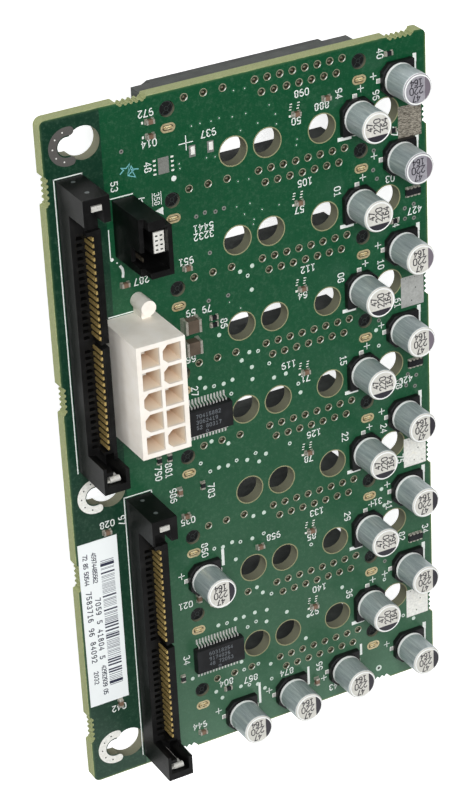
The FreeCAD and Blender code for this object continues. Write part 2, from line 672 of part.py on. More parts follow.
# ---------------------------------------------------------------------------
# drive connectors on the other side of the board, one per bay
# ---------------------------------------------------------------------------
def drive_connector(n):
    tag = "DC%d" % n
    bx, by = S("first_x"), S("first_y") - S("bay_pitch") * (n - 1)
    foot_top = back_z - S("stand_off")
    foot = box(tag + "Foot", bx + S("foot_x"), by + S("foot_y"), foot_top - S("foot_height"),
               S("foot_len"), S("foot_wide"), S("foot_height"))
    nose = body(tag + "Nose")
    sk = sketch(nose, tag + "NoseOutline")
    nl, nw = S("nose_len"), S("nose_wide")
    polygon(sk, [(0.0, 0.0), (nl, 0.0), (nl, nw - 0.9), (nl - 0.9, nw), (3.4, nw), (0.0, nw - 1.9)])
    pad(nose, sk, foot_top - S("foot_height"), name="Pad")
    place(nose, bx + S("nose_x"), by + S("nose_y"), 0.0)
    parts = [foot, nose]
    for k, a in enumerate(("peg_left", "peg_right")):
        parts.append(cyl(tag + "Peg%d" % k, bx + S(a), by + S("peg_along"), foot_top - 1.0,
                         S("peg_rad"), 1.0 + S("stand_off") + S("board_thick") - 0.45))
        parts.append(cyl(tag + "Rest%d" % k, bx + S(a) + (6.4 if k == 0 else -6.4), by - 6.3,
                         foot_top - 1.0, 0.45, 1.0 + S("stand_off")))
    hull = fuse(tag + "Hull", parts)
    mouth = box(tag + "Mouth", bx + S("mouth_x"), by + S("mouth_y"), -1.0,
                S("mouth_len"), S("mouth_wide"), S("mouth_deep") + 1.0)
    # polarising step at the left end of the slot and lead-in at both ends
    key = box(tag + "Key", bx + S("mouth_x"), by + S("mouth_y") - 0.7, -1.0, 1.4, 1.0, S("mouth_deep") + 1.0)
    ears = [box(tag + "EarL", bx + S("nose_x") - 0.5, by + S("mouth_y") + 0.25, -1.0, 1.6, 1.8, 6.0),
            box(tag + "EarR", bx + S("nose_x") + S("nose_len") - 1.1, by + S("mouth_y") + 0.25, -1.0,
                1.6, 1.8, 6.0)]
    # well in the foot for the contact tails
    tail = box(tag + "TailWell", bx - 1.0, by - 3.3, S("mouth_deep") + 0.3,
               S("pow_start") + S("pin_pitch") * 7 + 2.2, 3.5, foot_top - S("mouth_deep"))
    node(cut(tag + "Housing", hull, [mouth, key] + ears + [tail]), "drive_connector_%d" % n)

    # contacts: strips on both long walls of the slot, tails through the board
    made = []
    top = S("mouth_deep") + 0.0
    wall_hi = by + S("mouth_y") + S("mouth_wide")
    wall_lo = by + S("mouth_y")
    deep = 6.6
    for k in range(15):
        cx = bx + S("pow_start") + S("blade_pitch") * k - S("blade_wide") / 2
        made.append(box(tag + "P%02d" % k, cx, wall_hi - S("blade_thick"), top - deep,
                        S("blade_wide"), S("blade_thick"), deep))
    for k in range(7):
        cx = bx + S("blade_pitch") * k - S("blade_wide") / 2
        made.append(box(tag + "S%02d" % k, cx, wall_hi - S("blade_thick"), top - deep,
                        S("blade_wide"), S("blade_thick"), deep))
    for k in range(7):
        cx = bx + S("blade_pitch") * (7.0 + 0.55 + k * 0.62) - 0.25
        made.append(box(tag + "Q%02d" % k, cx, wall_lo, top - deep, 0.5, S("blade_thick"), deep))
    z0 = S("mouth_deep") + 0.3
    tall = front_z - 0.25 - z0
    for k in range(3):
        made.append(box(tag + "TS%d" % k, bx + S("sig_step") * k - 0.26, by - 0.16, z0, 0.52, 0.32, tall))
    for k in range(8):
        made.append(box(tag + "TA%d" % k, bx + S("pow_start") + S("pin_pitch") * k - 0.26, by - 0.16, z0,
                        0.52, 0.32, tall))
    for k in range(7):
        made.append(box(tag + "TB%d" % k, bx + S("pow_start") + S("pin_pitch") * (k + 0.5) - 0.26,
                        by - S("pin_pitch") - 0.16, z0, 0.52, 0.32, tall))
    node(group(tag + "Contacts", made), "drive_contacts_%d" % n)


for n in range(1, 9):
    drive_connector(n)

# forked board locks, two per drive connector
locks = []
for n in range(8):
    by = S("first_y") - S("bay_pitch") * n
    for k, a in enumerate(("peg_left", "peg_right")):
        cx, cy = S("first_x") + S(a), by + S("lock_along")
        zb = back_z - S("stand_off")
        legs = [box("LockLeg%d%d%d" % (n, k, j), cx + (-0.85 if j == 0 else 0.3), cy - 0.16, zb,
                    0.55, 0.32, S("stand_off") + S("board_thick") + 0.35) for j in range(2)]
        bar = box("LockBar%d%d" % (n, k), cx - 0.85, cy - 0.16, zb, 1.7, 0.32, 0.9)
        locks.append(fuse("Lock%d%d" % (n, k), legs + [bar]))
node(group("Locks", locks), "board_locks")

# ---------------------------------------------------------------------------
# electrolytic capacitors: can, plastic base, two strip leads
# ---------------------------------------------------------------------------
bases, leads = [], []
for i, (a, b, turn) in enumerate(CANS, 1):
    cx, cy = ax(S("can%02d_across" % i)), al(S("can%02d_along" % i))
    can = body("Can%02d" % i)
    sk = sketch(can, "CanProfile%02d" % i, "XZ_Plane")
    R, T = S("can_rad"), S("can_top")
    z1 = S("can_base_tall")
    polygon(sk, [(0.0, z1), (R - 0.25, z1), (R + 0.03, z1 + 0.22), (R + 0.03, z1 + 0.5),
                 (R - 0.04, z1 + 0.7), (R - 0.04, T - 0.45), (R - 0.12, T - 0.18), (R - 0.32, T),
                 (R - 0.5, T), (R - 0.58, T - 0.07), (0.0, T - 0.07)])
    rev = can.newObject("PartDesign::Revolution", "CanTurn%02d" % i)
    rev.Profile = sk
    rev.ReferenceAxis = (sk, ["V_Axis"])
    rev.Angle = 360
    doc.recompute()
    place(can, cx, cy, front_z)
    node(can, "capacitor_can_%02d" % i)

    # plastic base: square with the two corners of the positive side cut off
    s2 = S("can_base") / 2
    base = body("Base%02d" % i)
    sk = sketch(base, "BaseOutline%02d" % i)
    c0 = S("can_base")
    polygon(sk, [(0.0, 0.0), (c0, 0.0), (c0, c0 - 1.5), (c0 - 1.5, c0), (1.5, c0), (0.0, c0 - 1.5)])
    pad(base, sk, S("can_base_tall") - 0.15, name="Pad")
    ang = math.radians(turn)
    # the base turns about the can's axis
    base.Placement = FreeCAD.Placement(
        Vec(num(cx), num(cy), num(front_z) + 0.15), FreeCAD.Rotation(Vec(0, 0, 1), turn)).multiply(
        FreeCAD.Placement(Vec(-num(s2), -num(s2), 0), FreeCAD.Rotation()))
    if turn == 0:
        bind(base, ".Placement.Base.x", cx - s2)
        bind(base, ".Placement.Base.y", cy - s2)
    else:
        bind(base, ".Placement.Base.x", cx + s2)
        bind(base, ".Placement.Base.y", cy - s2)
    bind(base, ".Placement.Base.z", front_z + 0.15)
    bases.append(base)

    # strip leads under the base, reaching out on both sides
    lw = S("can_lead_wide")
    reach, inner = S("can_base") / 2 + 0.62, 1.0
    for k, sgn in enumerate((1, -1)):
        ln = reach - inner
        if turn == 0:
            lead = box("CanLead%02d%d" % (i, k), cx - lw / 2, (cy + inner) if sgn > 0 else (cy - reach),
                       front_z, lw, ln, 0.15)
        else:
            lead = box("CanLead%02d%d" % (i, k), (cx - reach) if sgn > 0 else (cx + inner), cy - lw / 2,
                       front_z, ln, lw, 0.15)
        leads.append(lead)
node(group("CanBases", bases), "capacitor_bases")
node(group("CanLeads", leads), "capacitor_leads")


# ---------------------------------------------------------------------------
# two small-outline packages with fourteen leads a side
# ---------------------------------------------------------------------------
def package(tag, name, a, b):
    x, y = ax(a) - S("ic_across") / 2, al(b) - S("ic_along") / 2
    bd = body(tag + "Body")
    # the moulding tapers above and below the parting line
    W, T = S("ic_along"), S("ic_tall")
    sk = sketch(bd, tag + "End", "YZ_Plane")
    polygon(sk, [(0.12, 0.12), (W - 0.12, 0.12), (W, T * 0.5), (W - 0.16, T), (0.16, T), (0.0, T * 0.5)])
    pad(bd, sk, S("ic_across"), name="Moulding")
    place(bd, x, y, front_z)
    node(bd, name + "_body")
    ld = body(tag + "Leads")
    sk = sketch(ld, tag + "LeadEnd", "YZ_Plane")
    # gull wing: foot on the board, knee, root in the parting line
    polygon(sk, [(0.0, 0.0), (0.75, 0.0), (0.95, T * 0.5 - 0.18), (1.27, T * 0.5 - 0.1),
                 (1.27, T * 0.5 + 0.06), (0.82, T * 0.5 + 0.06), (0.62, 0.16), (0.0, 0.16)])
    p1 = pad(ld, sk, S("ic_lead"), name="Wing")
    row_pattern(ld, [p1], "X_Axis", S("ic_pitch"), 14, "Row")
    place(ld, ax(a) - S("ic_pitch") * 6.5 - S("ic_lead") / 2, al(b) - S("ic_along") / 2 - 1.27, front_z)
    row_b = doc.addObject("Part::Mirroring", tag + "LeadsFar")
    row_b.Source = ld
    row_b.Normal = (0, 1, 0)
    row_b.Base = (0, num(al(b)), 0)
    bind(row_b, ".Base.y", al(b))
    node(group(tag + "AllLeads", [ld, row_b]), name + "_leads")


package("IA", "upper_ic", 0.42, -62.8)
package("IB", "lower_ic", 0.25, -114.3)

# ---------------------------------------------------------------------------
# chip parts: bodies, end caps, resistor networks, large ceramic capacitors
# ---------------------------------------------------------------------------
BAY = VAL["bay_pitch"]
CHIP_CAPS = [(-6.95, -2.75, 0), (-7.0, -5.45, 0), (-1.35, -32.15, 0), (-13.75, -32.05, 0),
             (-5.65, -76.75, 90), (-4.6, -82.3, 0), (-20.95, -80.4, 0), (10.6, -94.0, 0),
             (21.85, -128.9, 90), (-20.9, -118.1, 90), (-3.9, -131.3, 0), (-3.0, -100.9, 90),
             (28.2, -6.65, 0)]
CHIP_CAPS += [(21.95, -8.2 - BAY * k, 0) for k in range(7)]
CHIP_RES = [(3.45, -43.3, 0), (3.45, -44.75, 0), (-0.75, -76.95, 90), (-9.35, -69.0, 90),
            (-7.2, -69.0, 90), (2.2, -123.4, 0), (41.35, -1.2, 0), (41.9, -16.2, 0),
            (41.9, -34.2, 0), (-7.35, -117.7, 90)]
NETS = [(45.95, -29.2, 0), (45.9, -64.75, 0), (45.3, -103.3, 0)]
BULK = [(-1.6, -43.15), (-1.6, -47.5)]

ends = []


def chip(tag, a, b, turn, ln, wd, tall, end):
    """Body and two end caps of a two-terminal chip, centred on (a, b)."""
    cx, cy = ax(a), al(b)
    if turn == 0:
        core = box(tag, cx - ln / 2 + end, cy - wd / 2, front_z + 0.03, ln - end * 2, wd, tall - 0.06)
        e = [box(tag + "E0", cx - ln / 2, cy - wd / 2, front_z, end, wd, tall),
             box(tag + "E1", cx + ln / 2 - end, cy - wd / 2, front_z, end, wd, tall)]
    else:
        core = box(tag, cx - wd / 2, cy - ln / 2 + end, front_z + 0.03, wd, ln - end * 2, tall - 0.06)
        e = [box(tag + "E0", cx - wd / 2, cy - ln / 2, front_z, wd, end, tall),
             box(tag + "E1", cx - wd / 2, cy + ln / 2 - end, front_z, wd, end, tall)]
    ends.extend(e)
    return core


node(group("ChipCaps", [chip("CC%02d" % i, a, b, t, S("chip_len"), S("chip_wide"), S("chip_cap_tall"),
                             S("chip_end")) for i, (a, b, t) in enumerate(CHIP_CAPS)]),
     "chip_capacitors")
node(group("ChipRes", [chip("CR%02d" % i, a, b, t, S("chip_len"), S("chip_wide"), S("chip_res_tall"),
                            S("chip_end")) for i, (a, b, t) in enumerate(CHIP_RES)]),
     "chip_resistors")
node(group("BulkCaps", [chip("BC%02d" % i, a, b, 0, S("bulk_len"), S("bulk_wide"), S("bulk_tall"), 0.5)
                        for i, (a, b) in enumerate(BULK)]), "large_chip_capacitors")
net_solids = []
for i, (a, b, turn) in enumerate(NETS):
    cx, cy = ax(a), al(b)
    ln, wd, tall = S("net_len"), S("net_wide"), S("net_tall")
    if turn == 0:
        net_solids.append(box("Net%d" % i, cx - ln / 2, cy - wd / 2, front_z + 0.02, ln, wd, tall))
    else:
        net_solids.append(box("Net%d" % i, cx - wd / 2, cy - ln / 2, front_z + 0.02, wd, ln, tall))
    for k in range(4):
        off = ln * ((k + 0.5) / 4.0 - 0.5)
        for s in (-1, 1):
            if turn == 0:
                e = box("NetE%d%d%d" % (i, k, s + 1), cx + off - 0.24,
                        (cy + wd / 2) if s > 0 else (cy - wd / 2 - 0.32), front_z, 0.48, 0.32, tall)
            else:
                e = box("NetE%d%d%d" % (i, k, s + 1), (cx + wd / 2) if s > 0 else (cx - wd / 2 - 0.32),
                        cy + off - 0.24, front_z, 0.32, 0.48, tall)
            ends.append(e)
node(group("Networks", net_solids), "resistor_networks")
node(group("EndCaps", ends), "chip_end_caps")

# paper label on the left margin
node(box("Label", ax(S("label_x")), al(S("label_y")), front_z, S("label_across"), S("label_along"),
         S("label_thick")), "paper_label")

# ---------------------------------------------------------------------------
# recompute, check and write
# ---------------------------------------------------------------------------
doc.recompute()
bad = []
for o in doc.Objects:
    st = list(o.State) if hasattr(o, "State") else []
    if "Invalid" in st or "Error" in st:
        bad.append("%s state %s" % (o.Name, st))
for name, o in NODES:
    if o.Shape.isNull() or not o.Shape.isValid() or not o.Shape.Solids:
        bad.append("%s has no valid solid" % name)
if bad:
    raise RuntimeError("; ".join(bad))
names = [n for n, o in NODES]
if len(set(names)) != len(names) or len(names) > 60:
    raise RuntimeError("node names: %d" % len(names))
os.makedirs("parts", exist_ok=True)
for name, o in NODES:
    o.Shape.exportStep(os.path.join("parts", name + ".step"))
total = Part.makeCompound([o.Shape for n, o in NODES])
bb = total.BoundBox
print("nodes %d  solids %d  box %.2f..%.2f  %.2f..%.2f  %.2f..%.2f" % (
    len(NODES), sum(len(o.Shape.Solids) for n, o in NODES), bb.XMin, bb.XMax, bb.YMin, bb.YMax,
    bb.ZMin, bb.ZMax))
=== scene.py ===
import math
import random

import bpy
from mathutils import Matrix, Vector


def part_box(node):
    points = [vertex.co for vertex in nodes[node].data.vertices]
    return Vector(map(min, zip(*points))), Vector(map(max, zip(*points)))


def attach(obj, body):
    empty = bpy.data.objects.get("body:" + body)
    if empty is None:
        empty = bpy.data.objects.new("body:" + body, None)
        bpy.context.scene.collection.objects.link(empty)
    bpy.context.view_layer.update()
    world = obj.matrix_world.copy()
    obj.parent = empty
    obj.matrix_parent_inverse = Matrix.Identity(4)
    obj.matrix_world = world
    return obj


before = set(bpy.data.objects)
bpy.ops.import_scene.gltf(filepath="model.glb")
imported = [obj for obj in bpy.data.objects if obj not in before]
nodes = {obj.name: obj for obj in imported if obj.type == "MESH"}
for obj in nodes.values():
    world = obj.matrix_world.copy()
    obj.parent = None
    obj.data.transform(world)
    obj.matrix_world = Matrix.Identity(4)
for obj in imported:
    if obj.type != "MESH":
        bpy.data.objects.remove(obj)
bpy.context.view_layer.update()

# ---------------------------------------------------------------------------
# frame: millimetres on the board.  (u, v) counts from the first signal hole.
# ---------------------------------------------------------------------------
b_lo, b_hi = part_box("circuit_board")
X0, X1 = b_lo.x * 1000, b_hi.x * 1000
Y0, Y1 = b_lo.y * 1000, b_hi.y * 1000
BACK, TOP = b_lo.z * 1000, b_hi.z * 1000
FX, FY = X0 + 27.6, Y1 - 2.0
PITCH = 17.2
VENT_U, VENT_V = (9.1, 16.0, 27.2, 40.45), -12.3
rnd = random.Random(11)


def W(u, v, z=0.0):
    """Board position and height above the component face, as model millimetres."""
    return (FX + u, FY + v, TOP + z)


# ---------------------------------------------------------------------------
# node-based materials
# ---------------------------------------------------------------------------
def srgb(r, g, b):
    def f(c):
        c /= 255.0
        return c / 12.92 if c <= 0.04045 else ((c + 0.055) / 1.055) ** 2.4
    return (f(r), f(g), f(b), 1.0)


class Mat:
    """A material with short helpers for its node tree.  Coordinates are in mm."""

    def __init__(self, name):
        self.m = bpy.data.materials.new(name)
        self.m.use_nodes = True
        self.nt = self.m.node_tree
        self.p = next(n for n in self.nt.nodes if n.type == "BSDF_PRINCIPLED")
        tc = self.nt.nodes.new("ShaderNodeTexCoord")
        vm = self.nt.nodes.new("ShaderNodeVectorMath")
        vm.operation = "SCALE"
        vm.inputs["Scale"].default_value = 1000.0
        self.nt.links.new(tc.outputs["Object"], vm.inputs[0])
        self.co = vm.outputs[0]
        self._sep = None
        self._nsep = None

    def _in(self, sock, val):
        if hasattr(val, "links") or isinstance(val, bpy.types.NodeSocket):
            self.nt.links.new(val, sock)
        else:
            sock.default_value = val

    def set(self, name, val):
        self._in(self.p.inputs[name], val)
        return self

    def xyz(self):
        if self._sep is None:
            n = self.nt.nodes.new("ShaderNodeSeparateXYZ")
            self.nt.links.new(self.co, n.inputs[0])
            self._sep = n.outputs
        return self._sep

    def normal(self):
        if self._nsep is None:
            g = self.nt.nodes.new("ShaderNodeNewGeometry")
            n = self.nt.nodes.new("ShaderNodeSeparateXYZ")
            self.nt.links.new(g.outputs["True Normal"], n.inputs[0])
            self._nsep = n.outputs
        return self._nsep

    def math(self, op, a, b=0.0, clamp=False):
        n = self.nt.nodes.new("ShaderNodeMath")
        n.operation = op
        n.use_clamp = clamp
        self._in(n.inputs[0], a)
        self._in(n.inputs[1], b)
        return n.outputs[0]

    def scaled(self, sx, sy, sz):
        n = self.nt.nodes.new("ShaderNodeVectorMath")
        n.operation = "MULTIPLY"
        self.nt.links.new(self.co, n.inputs[0])
        n.inputs[1].default_value = (sx, sy, sz)
        return n.outputs[0]

    def noise(self, scale, detail=3.0, rough=0.5, vec=None, out="Fac", distort=0.0):
        n = self.nt.nodes.new("ShaderNodeTexNoise")
        n.inputs["Scale"].default_value = scale
        n.inputs["Detail"].default_value = detail
        n.inputs["Roughness"].default_value = rough
        n.inputs["Distortion"].default_value = distort
        self.nt.links.new(vec or self.co, n.inputs["Vector"])
        return n.outputs[out]

    def voronoi(self, scale, vec=None, out="Distance"):
        n = self.nt.nodes.new("ShaderNodeTexVoronoi")
        n.inputs["Scale"].default_value = scale
        self.nt.links.new(vec or self.co, n.inputs["Vector"])
        return n.outputs[out]

    def wave(self, scale, vec=None, direction="X", distort=0.0):
        n = self.nt.nodes.new("ShaderNodeTexWave")
        n.wave_type = "BANDS"
        n.bands_direction = direction
        n.inputs["Scale"].default_value = scale
        n.inputs["Distortion"].default_value = distort
        n.inputs["Detail"].default_value = 1.0
        self.nt.links.new(vec or self.co, n.inputs["Vector"])
        return n.outputs["Fac"]

    def ramp(self, fac, stops, interp="LINEAR"):
        n = self.nt.nodes.new("ShaderNodeValToRGB")
        r = n.color_ramp
        r.interpolation = interp
        while len(r.elements) < len(stops):
            r.elements.new(0.5)
        for e, (pos, col) in zip(r.elements, stops):
            e.position = pos
            e.color = col if len(col) == 4 else (*col, 1.0)
        self._in(n.inputs[0], fac)
        return n.outputs[0]

    def range(self, val, a, b, c=0.0, d=1.0, smooth=False):
        n = self.nt.nodes.new("ShaderNodeMapRange")
        if smooth:
            n.interpolation_type = "SMOOTHSTEP"
        n.clamp = True
        self._in(n.inputs["Value"], val)
        n.inputs["From Min"].default_value = a
        n.inputs["From Max"].default_value = b
        n.inputs["To Min"].default_value = c
        n.inputs["To Max"].default_value = d
        return n.outputs["Result"]

    def mix(self, fac, a, b, kind="MIX"):
        n = self.nt.nodes.new("ShaderNodeMix")
        n.data_type = "RGBA"
        n.blend_type = kind
        self._in(n.inputs[0], fac)
        self._in(n.inputs[6], a)
        self._in(n.inputs[7], b)
        return n.outputs[2]

    def bump(self, height, strength=0.3, dist=0.00005):
        n = self.nt.nodes.new("ShaderNodeBump")
        n.inputs["Strength"].default_value = strength
        n.inputs["Distance"].default_value = dist
        self._in(n.inputs["Height"], height)
        self.nt.links.new(n.outputs[0], self.p.inputs["Normal"])
        return self


def plastic(name, col, rough=0.45, speck=0.25, grain=9.0, bump=0.25, dark=0.6, light=1.3, spec=0.35):
    """Moulded plastic: faint flow marks, fine matt grain, uneven gloss."""
    m = Mat(name)
    big = m.noise(0.35, 3, 0.55)
    fine = m.noise(grain, 4, 0.65)
    c = tuple(col)
    lo = tuple(x * dark for x in c[:3]) + (1.0,)
    hi = tuple(min(1, x * light + 0.004) for x in c[:3]) + (1.0,)
    base = m.ramp(big, [(0.3, lo), (0.5, c), (0.72, hi)])
    base = m.mix(m.range(fine, 0.35, 0.75, 0.0, speck), base, hi)
    m.set("Base Color", base)
    m.set("Roughness", m.range(fine, 0.25, 0.75, rough - 0.09, rough + 0.12))
    m.bump(m.math("ADD", m.math("MULTIPLY", fine, 0.6), m.math("MULTIPLY", big, 0.4)), bump, 0.00004)
    m.p.inputs["Specular IOR Level"].default_value = spec
    return m


def metal(name, col, rough=0.3, tint=None, grain=6.0, bump=0.2, streak=None, metallic=1.0):
    m = Mat(name)
    vec = m.scaled(*streak) if streak else None
    n1 = m.noise(grain, 4, 0.6, vec)
    n2 = m.noise(0.9, 3, 0.5)
    c = tuple(col)
    d = tuple(x * 0.72 for x in c[:3]) + (1.0,)
    base = m.mix(m.range(n1, 0.3, 0.75), d, c)
    if tint:
        base = m.mix(m.range(n2, 0.55, 0.8, 0.0, 0.8), base, tint)
    m.set("Base Color", base)
    m.set("Metallic", metallic)
    m.set("Roughness", m.range(n1, 0.25, 0.75, rough - 0.08, rough + 0.14))
    m.bump(n1, bump, 0.00003)
    return m


# --- solder mask over laminate ---------------------------------------------
def board_material():
    m = Mat("solder_mask")
    x, y, z = m.xyz()[0], m.xyz()[1], m.xyz()[2]
    nx, ny, nz = m.normal()[0], m.normal()[1], m.normal()[2]
    # the mask grows lighter and greyer towards the low-y end of the board: painted haze of glare, not a change in the
    # mask itself
    along = m.range(y, Y0, Y1)
    cloud = m.noise(0.045, 3, 0.5)
    t = m.math("ADD", along, m.math("MULTIPLY", m.math("SUBTRACT", cloud, 0.5), 0.25))
    mask = m.ramp(t, [(0.0, srgb(74, 112, 88)), (0.14, srgb(54, 94, 69)), (0.42, srgb(30, 82, 54)),
                      (0.7, srgb(16, 78, 48)), (0.95, srgb(2, 74, 42))])
    # glass weave telegraphing through the mask
    weave = m.math("MULTIPLY", m.wave(1.05, None, "X", 0.6), m.wave(1.05, None, "Y", 0.6))
    mask = m.mix(m.math("MULTIPLY", weave, 0.05), mask, srgb(120, 160, 128))
    fine = m.noise(5.0, 4, 0.6)
    mask = m.mix(m.range(fine, 0.45, 0.8, 0.0, 0.18), mask, srgb(10, 52, 34))
    # margin without copper on the left
    left = m.math("LESS_THAN", x, FX - 16.3)
    mask = m.mix(m.math("MULTIPLY", left, 0.8), mask, srgb(14, 44, 33))
    # bare laminate: rim of the outline and every cut face
    dx = m.math("SUBTRACT", X1, m.math("ABSOLUTE", x))
    dy = m.math("SUBTRACT", Y1, m.math("ABSOLUTE", y))
    d = m.math("MINIMUM", dx, dy)
    wob = m.math("MULTIPLY", m.math("SUBTRACT", m.noise(0.8, 2, 0.5), 0.5), 0.16)
    dw = m.math("ADD", d, wob)
    rim = m.range(dw, 0.2, 0.08, 0.0, 1.0)
    halo = m.range(dw, 0.6, 0.12, 0.0, 0.4)
    fibre = m.noise(2.2, 5, 0.7, m.scaled(1.0, 1.0, 9.0))
    lam = m.ramp(fibre, [(0.25, srgb(118, 126, 78)), (0.5, srgb(156, 166, 116)), (0.8, srgb(194, 200, 158))])
    layers = m.wave(1.3, None, "Z", 1.5)
    lam_side = m.mix(m.math("MULTIPLY", layers, 0.35), lam, srgb(134, 126, 84))
    # traces and pours seen as faint steps through the mask
    tr = m.nt.nodes.new("ShaderNodeTexBrick")
    tr.inputs["Scale"].default_value = 1.0
    tr.inputs["Mortar Size"].default_value = 0.03
    tr.inputs["Brick Width"].default_value = 6.2
    tr.inputs["Row Height"].default_value = 0.85
    tr.inputs["Color1"].default_value = (0, 0, 0, 1)
    tr.inputs["Color2"].default_value = (0.35, 0.35, 0.35, 1)
    tr.inputs["Mortar"].default_value = (1, 1, 1, 1)
    m.nt.links.new(m.co, tr.inputs["Vector"])
    lines = m.math("MULTIPLY", tr.outputs["Color"], m.range(m.noise(0.12, 2, 0.5), 0.45, 0.6))
    mask = m.mix(m.math("MULTIPLY", lines, 0.16), mask, srgb(10, 50, 32))
    mott = m.noise(1.6, 5, 0.75)
    mask = m.mix(m.range(mott, 0.5, 0.75, 0.0, 0.22), mask, srgb(110, 146, 120))
    mask = m.mix(halo, mask, srgb(92, 122, 80))
    out = m.mix(rim, mask, lam)
    side = m.math("LESS_THAN", m.math("ABSOLUTE", nz), 0.5)
    inner = m.range(d, 1.2, 1.8)
    cutface = m.mix(inner, lam_side, m.mix(m.math("MULTIPLY", layers, 0.5), srgb(134, 134, 112), srgb(92, 94, 76)))
    out = m.mix(side, out, cutface)
    m.set("Base Color", out)
    gl = m.range(m.noise(0.6, 3, 0.5), 0.3, 0.7, 0.30, 0.42)
    rough = m.nt.nodes.new("ShaderNodeMix")
    rough.data_type = "FLOAT"
    m._in(rough.inputs[0], m.math("MAXIMUM", side, rim))
    m._in(rough.inputs[2], gl)
    rough.inputs[3].default_value = 0.75
    m.set("Roughness", rough.outputs[0])
    m.bump(m.math("ADD", m.math("MULTIPLY", weave, 0.5), m.math("MULTIPLY", fine, 0.5)), 0.12, 0.00003)
    m.p.inputs["Specular IOR Level"].default_value = 0.4
    return m


def conn_material():
    """Glass-filled plastic; the peg ends inside the board holes are painted near black: painted shade of the holes."""
    m = Mat("moulded_grey_black")
    big = m.noise(0.35, 3, 0.55)
    fine = m.noise(6.0, 5, 0.75)
    body = m.ramp(big, [(0.3, srgb(44, 48, 46)), (0.55, srgb(58, 62, 60)), (0.75, srgb(72, 76, 72))])
    body = m.mix(m.range(fine, 0.5, 0.75, 0.0, 0.5), body, srgb(104, 112, 100))
    # peg ends above the board's back face: painted shade down the peg holes
    peg = m.math("GREATER_THAN", m.xyz()[2], BACK + 0.1)
    m.set("Base Color", m.mix(peg, body, m.mix(m.range(fine, 0.6, 0.85), srgb(7, 10, 10), srgb(44, 54, 50))))
    m.set("Roughness", m.range(fine, 0.25, 0.75, 0.42, 0.62))
    m.bump(m.math("ADD", m.math("MULTIPLY", fine, 0.7), m.math("MULTIPLY", big, 0.3)), 0.4, 0.00005)
    m.p.inputs["Specular IOR Level"].default_value = 0.35
    return m


def contact_material():
    """Gold at the mating end, tin on the tails that stand in the board, painted darker than tin as painted shade inside
    the holes.
    """
    m = Mat("gold_plate")
    n1 = m.noise(5.0, 4, 0.6)
    z = m.xyz()[2]
    tail = m.math("MULTIPLY", m.range(z, BACK - 0.6, BACK - 0.2), m.range(z, TOP + 2.2, TOP + 1.8))
    gold = m.mix(m.range(n1, 0.3, 0.75), srgb(208, 172, 96), srgb(246, 222, 152))
    # tails: tin colour darkened as painted shade down in the board holes
    m.set("Base Color", m.mix(tail, gold, m.mix(m.range(n1, 0.4, 0.7), srgb(112, 104, 84), srgb(178, 170, 150))))
    m.set("Metallic", m.range(tail, 0.0, 1.0, 0.62, 0.35))
    m.set("Roughness", m.range(n1, 0.25, 0.75, 0.22, 0.38))
    m.bump(n1, 0.2, 0.00003)
    return m


def ink(name, col, rough=0.55, worn=0.25, under=None):
    m = Mat(name)
    n = m.noise(7.0, 4, 0.7)
    d = under or tuple(x * 0.7 for x in col[:3]) + (1.0,)
    m.set("Base Color", m.mix(m.range(n, 0.52, 0.8, 0.0, worn), col, d))
    m.set("Roughness", m.range(n, 0.3, 0.7, rough - 0.08, rough + 0.1))
    m.bump(n, 0.15, 0.00002)
    return m


def cream_material():
    """Nylon; down inside the sockets painted darker and warmer as painted shade."""
    m = Mat("nylon_cream")
    lo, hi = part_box("power_header_housing")
    x, y, z = m.xyz()[0], m.xyz()[1], m.xyz()[2]
    cx, cy, _ = W(-18.55 + 4.8, -60.15 + 11.1)
    dx = m.math("SUBTRACT", 4.8 - 0.3, m.math("ABSOLUTE", m.math("SUBTRACT", x, cx)))
    dy = m.math("SUBTRACT", 11.1 - 0.3, m.math("ABSOLUTE", m.math("SUBTRACT", y, cy)))
    within = m.math("GREATER_THAN", m.math("MINIMUM", dx, dy), 0.0)
    deep = m.range(z, hi.z * 1000 - 0.25, hi.z * 1000 - 0.7)
    big = m.noise(0.35, 3, 0.55)
    fine = m.noise(6.0, 4, 0.65)
    out = m.ramp(big, [(0.3, srgb(246, 239, 228)), (0.5, srgb(252, 246, 236)), (0.72, srgb(255, 250, 242))])
    # inside the socket walls the colour darkens to brown with depth: painted shade
    socket_shade = m.ramp(m.range(z, hi.z * 1000 - 7.0, hi.z * 1000 - 0.5), [(0.0, srgb(206, 160, 116)), (1.0, srgb(255, 243, 224))])
    base = m.mix(m.math("MULTIPLY", within, deep), out, socket_shade)
    m.set("Base Color", m.mix(m.range(fine, 0.4, 0.8, 0.0, 0.12), base, srgb(250, 246, 238)))
    m.set("Roughness", m.range(fine, 0.25, 0.75, 0.41, 0.62))
    m.bump(m.math("ADD", m.math("MULTIPLY", fine, 0.6), m.math("MULTIPLY", big, 0.4)), 0.16, 0.00004)
    m.p.inputs["Specular IOR Level"].default_value = 0.35
    return m


def rough_pad_material():
    """Tinned pad with close rows of dents."""
    m = Mat("dented_pad")
    n = m.noise(1.0, 3, 0.7, m.scaled(2.2, 7.0, 1.0))
    m.set("Base Color", m.ramp(n, [(0.36, srgb(70, 64, 54)), (0.47, srgb(128, 122, 110)), (0.62, srgb(182, 176, 162))]))
    m.set("Metallic", 0.2)
    m.set("Roughness", m.range(n, 0.3, 0.7, 0.6, 0.4))
    m.bump(n, 0.8, 0.00004)
    return m


